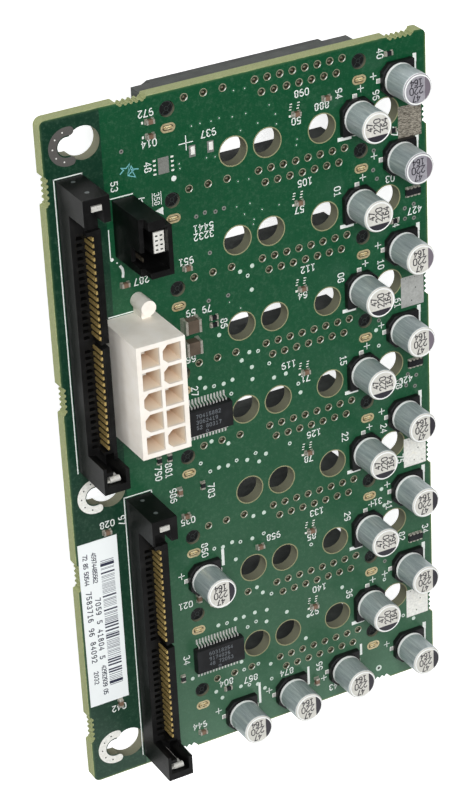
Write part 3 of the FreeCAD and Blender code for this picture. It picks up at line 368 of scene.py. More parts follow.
M = {}
M["board"] = board_material()
M["cream"] = cream_material()
M["black"] = plastic("moulded_black", srgb(8, 8, 8), 0.42, 0.5, 8.0, 0.45, 0.5, 2.6, 0.2)
M["conn"] = conn_material()
M["base"] = plastic("base_black", srgb(18, 18, 20), 0.4, 0.3, 8.0, 0.25, 0.6, 1.5)
M["ic"] = plastic("mould_compound", srgb(20, 21, 23), 0.5, 0.5, 11.0, 0.45, 0.7, 2.0, 0.3)
M["chipblack"] = plastic("overglaze_black", srgb(30, 31, 34), 0.3, 0.2, 6.0, 0.1, 0.8, 1.2)
M["ceramic"] = plastic("fired_ceramic", srgb(122, 98, 80), 0.45, 0.3, 6.0, 0.2, 0.75, 1.15)
M["bigchip"] = plastic("fired_ceramic_dark", srgb(92, 80, 68), 0.4, 0.3, 6.0, 0.2, 0.7, 1.2)
M["tin"] = metal("tin_plate", srgb(238, 238, 234), 0.34, srgb(206, 202, 190), 5.0, 0.25, metallic=0.45)
M["latch"] = metal("latch_steel", srgb(246, 245, 238), 0.3, srgb(214, 212, 200), 4.0, 0.25, metallic=0.35)
M["ring"] = metal("plated_ring", srgb(196, 190, 164), 0.34, srgb(140, 130, 98), 3.0, 0.4, metallic=0.45)
M["padrough"] = rough_pad_material()
M["padbrown"] = ink("worn_pad", srgb(92, 90, 87), 0.42, 0.9, srgb(58, 54, 52))
# grey on black plastic: painted highlight of the ejector marks
M["ejector"] = ink("ejector_mark", srgb(104, 110, 110), 0.4, 0.7, srgb(44, 46, 46))
M["saddle"] = ink("lock_fill", srgb(222, 208, 166), 0.35, 0.8, srgb(150, 124, 84))
M["pegrib"] = ink("peg_rib", srgb(46, 54, 52), 0.4, 0.9, srgb(14, 18, 18))
# dark brown for hole walls and splits: painted shade inside holes and gaps, not the colour of the plating
M["barrel"] = ink("hole_barrel", srgb(70, 62, 46), 0.5, 0.5, srgb(30, 32, 26))
M["viafill"] = ink("via_fill", srgb(204, 218, 208), 0.45, 0.5, srgb(156, 184, 166))
M["inkdark"] = ink("can_ink", srgb(46, 44, 52), 0.4, 0.3, srgb(80, 78, 86))
M["inksoft"] = ink("can_ink_soft", srgb(122, 114, 124), 0.35, 0.3, srgb(96, 90, 100))
M["icink"] = ink("laser_mark", srgb(112, 118, 124), 0.6, 0.8, srgb(50, 53, 58))
M["laminate"] = ink("bare_laminate", srgb(150, 148, 112), 0.7, 0.6, srgb(104, 100, 72))
M["solder"] = metal("solder", srgb(206, 202, 190), 0.3, srgb(138, 130, 114), 3.0, 0.5, metallic=0.5)
M["padgrey"] = metal("rough_pad", srgb(150, 152, 146), 0.5, srgb(96, 98, 92), 4.0, 1.0, metallic=0.4)
M["padmid"] = metal("tinned_pad", srgb(200, 202, 198), 0.42, srgb(160, 162, 156), 3.0, 0.7, metallic=0.3)
# pure white, not metallic: on the ring glints and the capacitor lands a painted highlight of solder
M["padwhite"] = metal("bright_pad_and_glint", srgb(252, 252, 245), 0.4, srgb(240, 237, 224), 2.0, 0.4, metallic=0.0)
M["gold"] = contact_material()
M["lock"] = metal("plated_bronze", srgb(240, 222, 176), 0.3, srgb(190, 150, 86), 4.0, 0.3, metallic=0.55)


def can_material():
    m = Mat("can_aluminium")
    nz = m.normal()[2]
    z = m.xyz()[2]
    streak = m.noise(3.0, 4, 0.6, m.scaled(1.0, 1.0, 0.06))
    fine = m.noise(9.0, 4, 0.6)
    side = m.ramp(streak, [(0.3, srgb(160, 172, 175)), (0.48, srgb(184, 195, 197)), (0.6, srgb(196, 206, 206)), (0.74, srgb(224, 231, 230))])
    side = m.mix(m.range(fine, 0.45, 0.7, 0.0, 0.45), side, srgb(122, 138, 142))
    top = m.ramp(m.noise(1.2, 4, 0.6), [(0.3, srgb(208, 207, 199)), (0.7, srgb(226, 224, 216))])
    shade = m.ramp(m.noise(1.2, 4, 0.6), [(0.3, srgb(148, 146, 154)), (0.7, srgb(172, 170, 177))])
    corner = m.math("MULTIPLY", m.math("GREATER_THAN", m.xyz()[0], W(38.5, 0.0)[0]),
                    m.math("GREATER_THAN", m.xyz()[1], W(0.0, -30.0)[1]))
    top = m.mix(corner, top, shade)
    up = m.math("GREATER_THAN", nz, 0.6)
    flat = m.math("MULTIPLY", up, m.math("LESS_THAN", z, TOP + 7.66))
    # near-white bands on the can side at the base bead and the top curl: painted highlights
    bead_highlight = m.math("MAXIMUM", m.range(z, TOP + 2.08, TOP + 1.96), m.range(z, TOP + 7.34, TOP + 7.46))
    bead_highlight = m.math("MULTIPLY", bead_highlight, m.math("SUBTRACT", 1.0, flat))
    side = m.mix(bead_highlight, side, srgb(252, 254, 252))
    m.set("Base Color", m.mix(flat, side, top))
    m.set("Metallic", m.math("MULTIPLY", m.math("SUBTRACT", 1.0, m.math("MAXIMUM", flat, bead_highlight)), 0.25))
    m.set("Roughness", m.range(m.math("ADD", flat, m.math("MULTIPLY", fine, 0.2)), 0.0, 1.2, 0.36, 0.55))
    m.bump(m.math("ADD", m.math("MULTIPLY", streak, 0.5), m.math("MULTIPLY", fine, 0.5)), 0.12, 0.00003)
    return m


M["can"] = can_material()


def carrier_material():
    """Pale carrier top; the springs below it painted dark as painted shade inside the housing."""
    m = Mat("carrier")
    z = m.xyz()[2]
    n = m.noise(4.0, 4, 0.6)
    top = m.mix(m.range(n, 0.4, 0.75), srgb(250, 249, 243), srgb(220, 218, 208))
    # below the carrier top: painted shade inside the housing
    m.set("Base Color", m.mix(m.math("GREATER_THAN", z, TOP + 10.0), m.mix(m.range(n, 0.45, 0.7), srgb(40, 36, 30), srgb(96, 88, 72)), top))
    m.set("Metallic", 0.2)
    m.set("Roughness", m.range(n, 0.3, 0.7, 0.35, 0.5))
    m.bump(n, 0.15, 0.00003)
    return m


M["carrier"] = carrier_material()


M["silk"] = ink("screen_print_white", srgb(236, 240, 236), 0.55, 0.5, srgb(150, 178, 160))
M["pen"] = ink("pen_mark", srgb(120, 190, 196), 0.5, 0.6, srgb(60, 130, 120))
M["print"] = ink("print_dark", srgb(40, 40, 44), 0.5, 0.5, srgb(110, 110, 112))
M["printgrey"] = ink("print_grey", srgb(112, 116, 128), 0.5, 0.5, srgb(70, 72, 84))
# dark discs and patches laid over small holes: painted shade of the holes
M["holedark"] = ink("hole_shade", srgb(36, 44, 38), 0.7, 0.4)
M["paper"] = ink("label_paper", srgb(245, 250, 250), 0.5, 0.35, srgb(234, 238, 238))
M["labelink"] = ink("label_ink", srgb(34, 38, 62), 0.6, 0.3, srgb(84, 86, 104))
M["white"] = ink("white_paint", srgb(244, 244, 240), 0.45, 0.2)
M["trace"] = ink("mask_over_copper", srgb(34, 96, 62), 0.35, 0.5, srgb(20, 70, 46))

# CAD nodes take their finishes
FINISH = {"circuit_board": "board", "power_header_housing": "cream", "power_header_pins": "tin",
          "aux_header_housing": "black", "aux_header_contacts": "carrier", "board_locks": "lock",
          "capacitor_bases": "base", "capacitor_leads": "tin", "upper_ic_body": "ic", "lower_ic_body": "ic",
          "upper_ic_leads": "tin", "lower_ic_leads": "tin", "chip_capacitors": "ceramic",
          "large_chip_capacitors": "bigchip", "chip_resistors": "chipblack", "resistor_networks": "chipblack",
          "chip_end_caps": "solder", "paper_label": "paper"}
for side in ("upper", "lower"):
    FINISH[side + "_data_header_housing"] = "black"
    FINISH[side + "_data_header_contacts"] = "gold"
    FINISH[side + "_data_header_latches"] = "latch"
for i in range(1, 9):
    FINISH["drive_connector_%d" % i] = "conn"
    FINISH["drive_contacts_%d" % i] = "gold"
for i in range(1, 20):
    FINISH["capacitor_can_%02d" % i] = "can"
for name, o in nodes.items():
    mat = M[FINISH[name]].m
    if not o.material_slots:
        o.data.materials.append(mat)
    for s in o.material_slots:
        s.link = "OBJECT"
        s.material = mat

# small rounded edges on the moulded pieces
BEVEL = {"power_header_housing": 0.16, "upper_data_header_housing": 0.09, "lower_data_header_housing": 0.09,
         "aux_header_housing": 0.09, "upper_ic_body": 0.07, "lower_ic_body": 0.07, "large_chip_capacitors": 0.12,
         "chip_end_caps": 0.06, "chip_capacitors": 0.06, "capacitor_bases": 0.1}
for i in range(1, 9):
    BEVEL["drive_connector_%d" % i] = 0.1
for name, r in BEVEL.items():
    o = nodes[name]
    for p in o.data.polygons:
        p.use_smooth = False
    w = o.modifiers.new("weld", "WELD")
    w.merge_threshold = 2e-6
    b = o.modifiers.new("edge", "BEVEL")
    b.width = r * 0.001
    b.segments = 2
    b.limit_method = "ANGLE"
    b.angle_limit = math.radians(50)
    b.use_clamp_overlap = True


# ---------------------------------------------------------------------------
# mesh building
# ---------------------------------------------------------------------------
class Shape:
    """Collects closed solids in millimetres and becomes one riding piece."""

    def __init__(self):
        self.v, self.f, self.smooth = [], [], []

    def add(self, verts, faces, smooth=False):
        o = len(self.v)
        self.v.extend(verts)
        self.f.extend([tuple(i + o for i in f) for f in faces])
        self.smooth.extend([smooth] * len(faces))

    def prism(self, pts, z0, z1):
        """Upright prism over a counter-clockwise outline."""
        n = len(pts)
        v = [(x, y, z0) for x, y in pts] + [(x, y, z1) for x, y in pts]
        f = [tuple(range(n - 1, -1, -1)), tuple(range(n, 2 * n))]
        f += [(i, (i + 1) % n, n + (i + 1) % n, n + i) for i in range(n)]
        self.add(v, f)

    def block(self, x0, y0, z0, x1, y1, z1, r=0.0):
        """Box with softened top edges."""
        r = min(r, (x1 - x0) * 0.3, (y1 - y0) * 0.3, (z1 - z0) * 0.7)
        if r <= 0:
            self.prism([(x0, y0), (x1, y0), (x1, y1), (x0, y1)], z0, z1)
            return
        a = [(x0, y0, z0), (x1, y0, z0), (x1, y1, z0), (x0, y1, z0)]
        b = [(x0, y0, z1 - r), (x1, y0, z1 - r), (x1, y1, z1 - r), (x0, y1, z1 - r)]
        c = [(x0 + r, y0 + r, z1), (x1 - r, y0 + r, z1), (x1 - r, y1 - r, z1), (x0 + r, y1 - r, z1)]
        f = [(3, 2, 1, 0), (8, 9, 10, 11)]
        for i in range(4):
            j = (i + 1) % 4
            f += [(i, j, 4 + j, 4 + i), (4 + i, 4 + j, 8 + j, 8 + i)]
        self.add(a + b + c, f)

    def lathe(self, cx, cy, prof, seg=16, closed=True, sx=1.0, sy=1.0):
        """Turns (radius, z) pairs about a vertical axis; a closed profile makes a ring."""
        n = len(prof)
        v, f = [], []
        for k in range(seg):
            a = 2 * math.pi * k / seg
            c, s = math.cos(a) * sx, math.sin(a) * sy
            v += [(cx + r * c, cy + r * s, z) for r, z in prof]
        for k in range(seg):
            o, q = k * n, ((k + 1) % seg) * n
            for i in range(n if closed else n - 1):
                j = (i + 1) % n
                f.append((o + i, q + i, q + j, o + j))
        if not closed:
            f.append(tuple(k * n for k in range(seg))[::-1])
            f.append(tuple(k * n + n - 1 for k in range(seg)))
        self.add(v, f, True)

    def disc(self, cx, cy, r, z0, z1, seg=14, dome=0.0):
        prof = [(r, z0), (r, z1)]
        if dome:
            prof += [(r * 0.7, z1 + dome * 0.6), (r * 0.3, z1 + dome)]
        self.lathe(cx, cy, prof, seg, closed=False)

    def ribbon(self, pts, wid, z0, z1, loop=False):
        """Flat stroke of even width along a line of points, as a closed solid."""
        n = len(pts)
        if n < 2:
            return
        h = wid / 2
        L, R = [], []
        for i in range(n):
            if loop:
                a, b = pts[i - 1], pts[(i + 1) % n]
            else:
                a, b = pts[max(i - 1, 0)], pts[min(i + 1, n - 1)]
            p = pts[i]
            d1 = (p[0] - a[0], p[1] - a[1]) if a is not p else None
            d2 = (b[0] - p[0], b[1] - p[1]) if b is not p else None
            if d1 is None or (d1[0] == 0 and d1[1] == 0):
                d1 = d2
            if d2 is None or (d2[0] == 0 and d2[1] == 0):
                d2 = d1
            l1, l2 = math.hypot(*d1) or 1, math.hypot(*d2) or 1
            t1, t2 = (d1[0] / l1, d1[1] / l1), (d2[0] / l2, d2[1] / l2)
            tx, ty = t1[0] + t2[0], t1[1] + t2[1]
            tl = math.hypot(tx, ty)
            if tl < 0.2:
                tx, ty, tl = t1[0], t1[1], 1.0
            tx, ty = tx / tl, ty / tl
            k = min(1.8, 1.0 / max(0.35, tx * t1[0] + ty * t1[1]))
            ex = ey = 0.0
            if not loop and i == 0:
                ex, ey = -t1[0] * h * 0.7, -t1[1] * h * 0.7
            if not loop and i == n - 1:
                ex, ey = t1[0] * h * 0.7, t1[1] * h * 0.7
            L.append((p[0] - ty * h * k + ex, p[1] + tx * h * k + ey))
            R.append((p[0] + ty * h * k + ex, p[1] - tx * h * k + ey))
        v = []
        for i in range(n):
            v += [(*R[i], z0), (*L[i], z0), (*L[i], z1), (*R[i], z1)]
        f = []
        for i in range(n if loop else n - 1):
            a, b = 4 * i, 4 * ((i + 1) % n)
            f += [(a, b, b + 3, a + 3), (a + 3, b + 3, b + 2, a + 2), (a + 2, b + 2, b + 1, a + 1),
                  (a + 1, b + 1, b, a)]
        if not loop:
            e = 4 * (n - 1)
            f += [(0, 3, 2, 1), (e, e + 1, e + 2, e + 3)]
        self.add(v, f)

    def piece(self, name, mat, slot):
        me = bpy.data.meshes.new(name)
        me.from_pydata([(x * 0.001, y * 0.001, z * 0.001) for x, y, z in self.v], [], self.f)
        me.update()
        for p, s in zip(me.polygons, self.smooth):
            p.use_smooth = s
        o = bpy.data.objects.new(name, me)
        bpy.context.scene.collection.objects.link(o)
        me.materials.append(M[mat].m)
        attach(o, "root")
        if any(self.smooth) and hasattr(me, "set_sharp_from_angle"):
            me.set_sharp_from_angle(angle=math.radians(50))
        return o


# --- plain numerals as strokes ----------------------------------------------
def arc(cx, cy, rx, ry, a0, a1, n=6):
    return [(cx + rx * math.cos(math.radians(a0 + (a1 - a0) * i / n)),
             cy + ry * math.sin(math.radians(a0 + (a1 - a0) * i / n))) for i in range(n + 1)]


GLYPH = {
    "0": [arc(0.32, 0.72, 0.27, 0.28, 0, 180) + arc(0.32, 0.28, 0.27, 0.28, 180, 360) + [(0.59, 0.72)]],
    "1": [[(0.14, 0.80), (0.34, 1.0), (0.34, 0.0)], [(0.12, 0.0), (0.56, 0.0)]],
    "2": [arc(0.32, 0.72, 0.26, 0.28, 165, -20) + [(0.05, 0.0), (0.6, 0.0)]],
    "3": [arc(0.30, 0.75, 0.26, 0.25, 155, -80) + arc(0.30, 0.26, 0.29, 0.26, 80, -155)],
    "4": [[(0.46, 0.0), (0.46, 1.0), (0.03, 0.3), (0.62, 0.3)]],
    "5": [[(0.56, 1.0), (0.12, 1.0), (0.09, 0.56)] + arc(0.30, 0.31, 0.29, 0.30, 120, -150)],
    "6": [[(0.52, 0.94), (0.34, 1.0)] + arc(0.34, 0.6, 0.29, 0.38, 95, 180, 4) + arc(0.33, 0.3, 0.27, 0.3, 180, 540, 12)],
    "7": [[(0.04, 1.0), (0.6, 1.0), (0.26, 0.0)]],
    "8": [arc(0.32, 0.75, 0.23, 0.25, -90, 270, 12), arc(0.32, 0.26, 0.28, 0.26, 90, 450, 12)],
    "9": [arc(0.31, 0.7, 0.27, 0.3, 0, 360, 12), [(0.58, 0.7), (0.57, 0.35)] + arc(0.30, 0.34, 0.27, 0.34, 0, -110, 6)],
    "-": [[(0.1, 0.48), (0.52, 0.48)]],
    "+": [[(0.32, 0.12), (0.32, 0.84)], [(0.02, 0.48), (0.62, 0.48)]],
}


def text(shape, s, u, v, turn, high, z0, z1, wid=None, step=None, at=W):
    """Numerals centred on (u, v), turned by so many degrees."""
    wid = wid or high * 0.145
    step = step or high * 0.83
    tot = step * len(s) - (step - 0.64 * high)
    ca, sa = math.cos(math.radians(turn)), math.sin(math.radians(turn))
    x = -tot / 2
    for ch in s:
        for line in GLYPH[ch]:
            pts = []
            for gx, gy in line:
                lx, ly = x + gx * high, (gy - 0.5) * high
                px, py, _ = at(u + lx * ca - ly * sa, v + lx * sa + ly * ca)
                if not pts or math.hypot(px - pts[-1][0], py - pts[-1][1]) > 1e-4:
                    pts.append((px, py))
            shape.ribbon(pts, wid, z0, z1)
        x += step


INK0, INK1 = TOP - 0.004, TOP + 0.018

# ---------------------------------------------------------------------------
# screen print
# ---------------------------------------------------------------------------
silk = Shape()


def line(u0, v0, u1, v1, wid=0.2):
    silk.ribbon([W(u0, v0)[:2], W(u1, v1)[:2]], wid, INK0, INK1)


serial = [137, 143, 132, 225, 226, 134, 182, 78, 79, 80, 146, 145, 144, 113, 133, 147, 122, 123, 90]
U_TEXT = [(-7.5, -1.2, "137"), (-7.2, -6.9, "143"), (4.4, -7.7, "132"), (2.4, -25.2, "2204"), (2.4, -26.8, "3317"),
          (-1.4, -30.9, "134"), (-10.4, -32.2, "182"), (-1.1, -41.2, "78"), (2.2, -41.3, "38"), (-1.6, -50.4, "79"),
          (-4.2, -83.6, "146"), (-20.7, -78.9, "145"), (-5.8, -101.7, "144"), (1.9, -122.0, "113"),
          (-4.35, -129.8, "133"), (-21.2, -119.2, "147"), (7.3, -123.1, "122"), (15.3, -124.5, "123"),
          (25.7, -131.8, "90"), (27.3, -8.0, "125"), (41.2, -25.6, "70"), (46.4, -33.2, "202"),
          (43.8, -68.0, "201"), (13.7, -92.8, "135"), (37.0, -92.7, "74")]
for k in range(7):
    U_TEXT.append(((18.5 if k == 3 else 23.3), (-57.4 if k == 3 else -4.6 - PITCH * k), str(155 + k)))
    U_TEXT.append((22.0, -9.65 - PITCH * k, str(91 + k)))
R_TEXT = [(-7.75, -11.2, "05"), (-14.4, -13.2, "20"), (5.5, -45.1, "39"), (-1.2, -57.1, "02"), (-9.65, -71.7, "111"),
          (-7.5, -71.7, "124"), (-6.9, -77.3, "139"), (1.0, -78.7, "110"), (-17.7, -79.0, "12"),
          (-1.1, -91.0, "121"), (-6.3, -113.9, "03"), (22.7, -125.8, "98"), (30.9, -6.5, "83"), (30.0, -25.3, "84"),
          (30.2, -42.7, "85"), (30.2, -59.9, "86"), (30.1, -76.2, "87"), (30.1, -93.8, "88"), (30.0, -111.4, "89"),
          (39.6, -0.9, "61"), (38.6, -8.6, "69"), (38.85, -42.3, "71"), (38.7, -77.0, "73"), (39.5, -94.2, "04"),
          (47.7, -102.3, "03"), (42.3, -16.5, "62"), (42.3, -34.6, "63"), (42.3, -51.2, "64"), (42.3, -68.5, "65"),
          (42.3, -84.8, "66"), (42.3, -102.3, "67")]


def plain(s):
    """A made-up number with as many digits."""
    return str((int(s) * 7 + 13) % 10 ** len(s)).zfill(len(s))


for u, v, s in U_TEXT:
    text(silk, plain(s), u, v, 180, 1.28, INK0, INK1, 0.2)
for u, v, s in R_TEXT:
    text(silk, plain(s), u, v, -90, 1.28, INK0, INK1, 0.2)
# boxed number
text(silk, "358", -6.4, -17.5, -90, 1.0, INK0, INK1)
for du in (-0.85, 0.85):
    line(-6.4 + du, -16.3, -6.4 + du, -18.7, 0.12)

PLUS = [(35.4, -6.6), (35.4, -23.9), (35.5, -41.2), (35.4, -58.3), (35.5, -75.7), (35.5, -92.8), (35.4, -110.0),
        (38.1, -4.9), (37.9, -20.3), (38.3, -38.3), (38.65, -54.9), (38.3, -73.2), (39.2, -89.6), (38.2, -109.6),
        (38.3, -126.2), (-6.3, -95.1), (-0.15, -128.0), (11.2, -127.4), (23.6, -128.9)]
for u, v in PLUS:
    line(u - 0.62, v, u + 0.62, v, 0.17)
    line(u, v - 0.62, u, v + 0.62, 0.17)
line(-1.45, -8.5, 1.25, -8.5, 0.18)
line(-0.1, -7.15, -0.1, -9.85, 0.18)


def bar(u0, v0, u1, v1):
    x0, y0, _ = W(min(u0, u1), min(v0, v1))
    x1, y1, _ = W(max(u0, u1), max(v0, v1))
    silk.block(x0, y0, INK0, x1, y1, INK1)


mids = [-11.36 - PITCH * k for k in range(7)]
for vc in mids:
    bar(30.35, vc - 3.65, 33.25, vc - 4.38)
    bar(33.2, vc - 3.7, 37.9, vc - 3.95)
rights = [(42.68, -6.04), (42.96, -21.4), (42.91, -39.5), (42.86, -56.53), (42.84, -74.81), (43.31, -91.36),
          (43.09, -108.88), (43.03, -127.69)]
for uc, vc in rights:
    bar(uc + 3.75, vc + 1.95, uc + 4.52, vc + 3.65)
    bar(uc + 4.1, vc - 3.6, uc + 4.45, vc + 2.0)
bar(2.35, -92.0, 2.95, -95.6)
bar(8.85, -124.7, 9.35, -129.5)
bar(19.9, -125.0, 20.4, -129.2)
bar(32.05, -124.0, 32.55, -126.6)

# outlines beside the headers
line(-25.65, -9.15, -25.65, -66.7, 0.2)
line(-25.7, -9.15, -20.3, -9.15, 0.2)
line(-20.3, -9.15, -20.3, -9.6, 0.2)
line(-16.95, -74.6, -16.95, -131.8, 0.2)
line(-16.95, -74.6, -11.3, -74.6, 0.2)
line(-11.3, -74.6, -11.3, -75.1, 0.2)
line(-17.3, -37.7, -10.9, -37.7, 0.2)
line(-15.3, -15.35, -11.0, -15.35, 0.22)
line(-16.1, -21.0, -16.1, -26.6, 0.2)
silk.disc(*W(-15.85, -26.75)[:2], 0.34, INK0, INK1)
line(-9.85, -16.6, -8.8, -16.7, 0.22)
line(-9.4, -16.75, -9.2, -17.4, 0.22)
x, y, _ = W(-5.9, -20.2)
silk.prism([(x - 0.9, y + 0.45), (x + 0.62, y - 0.65), (x + 0.62, y + 0.95)], INK0, INK1)
silk.ribbon([W(a, b)[:2] for a, b in ((-14.3, -28.4), (-13.95, -29.0), (-13.85, -29.7), (-13.95, -30.5))], 0.5,
            INK0, INK1)
silk.disc(*W(-14.9, -27.6)[:2], 0.16, INK0, INK1)
silk.disc(*W(-2.85, -14.5)[:2], 0.52, INK0, INK1, 18)
silk.piece("screen_print", "silk", "label_paper")

pen = Shape()
squiggle = [(-13.1, -11.2), (-12.4, -10.6), (-12.9, -10.1), (-11.9, -10.4), (-11.2, -9.7), (-11.7, -11.6), (-10.9, -10.2),
            (-10.5, -11.0), (-11.6, -11.8), (-10.2, -12.4), (-10.9, -10.8), (-9.6, -11.0)]
pen.ribbon([W(a, b)[:2] for a, b in squiggle], 0.2, INK0, TOP + 0.012)
pen.piece("pen_mark", "pen", "label_paper")

# ---------------------------------------------------------------------------
# plated holes, locks, contact pads, ground pads
# ---------------------------------------------------------------------------
rings, barrels, glints = Shape(), Shape(), Shape()
TH = 0.035
for k in range(8):
    v0 = -PITCH * k
    holes = [(3.81 * i, v0) for i in range(3)] + [(13.97 + 2.54 * i, v0) for i in range(8)]
    holes += [(13.97 + 2.54 * (i + 0.5), v0 - 2.54) for i in range(7)]
    for u, v in holes:
        x, y, _ = W(u, v)
        rings.lathe(x, y, [(0.455, BACK - TH), (0.72, BACK - TH), (0.74, BACK + 0.01), (0.485, BACK + 0.05),
                           (0.485, TOP - 0.05), (0.77, TOP - 0.01), (0.76, TOP + TH), (0.69, TOP + TH + 0.012),
                           (0.62, TOP + 0.005)], 18)
        # dark barrel wall and a dark band over the inner edge of the ring: painted shade down the hole
        barrels.lathe(x, y, [(0.452, BACK + 0.1), (0.486, BACK + 0.1), (0.486, TOP - 0.06), (0.64, TOP + 0.004),
                             (0.63, TOP + 0.02), (0.452, TOP - 0.03)], 18)
        glints.ribbon([(x + 0.62 * math.cos(t), y + 0.62 * math.sin(t)) for t in (-1.15, -0.9, -0.6, -0.35)], 0.17,
                      TOP + 0.02, TOP + 0.056)
rings.piece("plated_holes", "ring", "tin")
barrels.piece("hole_barrels", "barrel", "laminate")
glints.piece("solder_glints", "padwhite", "tin")

# peg ends: crush ribs and a dimple; lock slots: solder with the split of the legs
ribs, fills, slits = Shape(), Shape(), Shape()
for k in range(8):
    for u in (-3.4, 35.15):
        x, y, _ = W(u, -1.35 - PITCH * k)
        zp = TOP - 0.45
        ribs.lathe(x, y, [(1.2, zp - 0.02), (1.33, zp - 0.02), (1.33, zp + 0.03), (1.24, zp + 0.05), (1.2, zp + 0.03)], 26)
        ribs.lathe(x + 0.12, y - 0.1, [(0.32, zp - 0.02), (0.44, zp - 0.02), (0.42, zp + 0.04), (0.34, zp + 0.04)], 16)
        for a in (0.6, 2.3, 4.1, 5.3):
            ca, sa = math.cos(a), math.sin(a)
            ribs.ribbon([(x + 0.62 * ca, y + 0.62 * sa), (x + 1.15 * ca, y + 1.15 * sa)], 0.1, zp - 0.02, zp + 0.04)
        x, y, _ = W(u, -4.85 - PITCH * k)
        pts = []
        for i in range(22):
            a = 2 * math.pi * i / 22
            pts.append((x + (0.58 if math.cos(a) > 0 else -0.58) + 0.5 * math.cos(a), y + 0.5 * math.sin(a)))
        # dark floor of the lock slot under the fill: painted shade in the slot
        slits.prism(pts, TOP - 0.3, TOP - 0.06)
        pts = [(x + (qx - x) * 0.8, y + (qy - y) * 0.68) for qx, qy in pts]
        fills.prism(pts, TOP - 0.12, TOP - 0.02)
        # dark lines of the split between the legs: painted shade in the gap
        slits.block(x - 0.55, y - 0.12, TOP - 0.05, x + 0.5, y + 0.0, TOP - 0.01)
        slits.block(x - 0.5, y - 0.12, TOP - 0.05, x - 0.4, y + 0.2, TOP - 0.01)
ribs.piece("peg_ribs", "pegrib", "connector_black")
fills.piece("lock_fill", "saddle", "lock_metal")
slits.piece("lock_slits", "barrel", "lock_metal")

# ejector marks on the upper ends of the header towers; their grey on the black housing is a painted highlight
ejs = Shape()
for name, mx in (("upper_data_header_housing", W(-23.0, 0)[0]), ("lower_data_header_housing", W(-14.3, 0)[0])):
    lo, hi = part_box(name)
    ye = hi.y * 1000
    for h, r in ((2.2, 0.42), (7.5, 0.42)):
        n = 18
        vs, fs = [], []
        for yy, rr in ((ye - 0.06, r), (ye + 0.012, r), (ye + 0.004, r * 0.7)):
            for i in range(n):
                a = 2 * math.pi * i / n
                vs.append((mx + rr * math.cos(a), yy, TOP + h + rr * math.sin(a)))
        for ring in (0, 1):
            for i in range(n):
                j = (i + 1) % n
                fs.append((ring * n + i, ring * n + j, (ring + 1) * n + j, (ring + 1) * n + i))
        fs.append(tuple(range(n)))
        fs.append(tuple(reversed(range(2 * n, 3 * n))))
        ejs.add(vs, [tuple(reversed(f)) for f in fs])
ejs.piece("ejector_marks", "ejector", "header_black")

# openings in the pale carrier of the auxiliary header, drawn as dark patches on its top: painted shade of the holes
openings = Shape()
for r in range(4):
    for c in range(2):
        x, y, _ = W(-12.12 + 0.92 * c, -21.73 + 0.87 * r)
        openings.block(x - 0.24, y - 0.14, TOP + 10.58, x + 0.24, y + 0.14, TOP + 10.625, 0.01)
openings.piece("carrier_openings", "holedark", "header_black")

ovals = Shape()
for k in range(8):
    for u in (-3.4, 35.15):
        x, y, _ = W(u, -4.85 - PITCH * k)
        n = 22
        prof_o, prof_i = [], []
        for i in range(n):
            a = 2 * math.pi * i / n
            ox = 0.55 if math.cos(a) > 0 else -0.55
            prof_o.append((x + ox + 0.88 * math.cos(a), y + 0.88 * math.sin(a)))
            prof_i.append((x + ox * 1.05 + 0.5 * math.cos(a), y + 0.5 * math.sin(a)))
        vs, fs = [], []
        for i in range(n):
            vs += [(*prof_i[i], BACK - TH), (*prof_o[i], BACK - TH), (*prof_o[i], BACK), (*prof_i[i], BACK + 0.02),
                   (*prof_i[i], TOP - 0.02), (*prof_o[i], TOP), (*prof_o[i], TOP + TH), (*prof_i[i], TOP + TH)]
        # two flat rings joined by the plated wall
        for i in range(n):
            a, b = 8 * i, 8 * ((i + 1) % n)
            fs += [(a + 5, b + 5, b + 6, a + 6), (a + 6, b + 6, b + 7, a + 7), (a + 7, b + 7, b, a),
                   (a, b, b + 1, a + 1), (a + 1, b + 1, b + 2, a + 2), (a + 2, b + 2, b + 3, a + 3),
                   (a + 3, b + 3, b + 4, a + 4), (a + 4, b + 4, b + 5, a + 5)]
        ovals.add(vs, fs, True)
ovals.piece("lock_pads", "lock", "lock_metal")

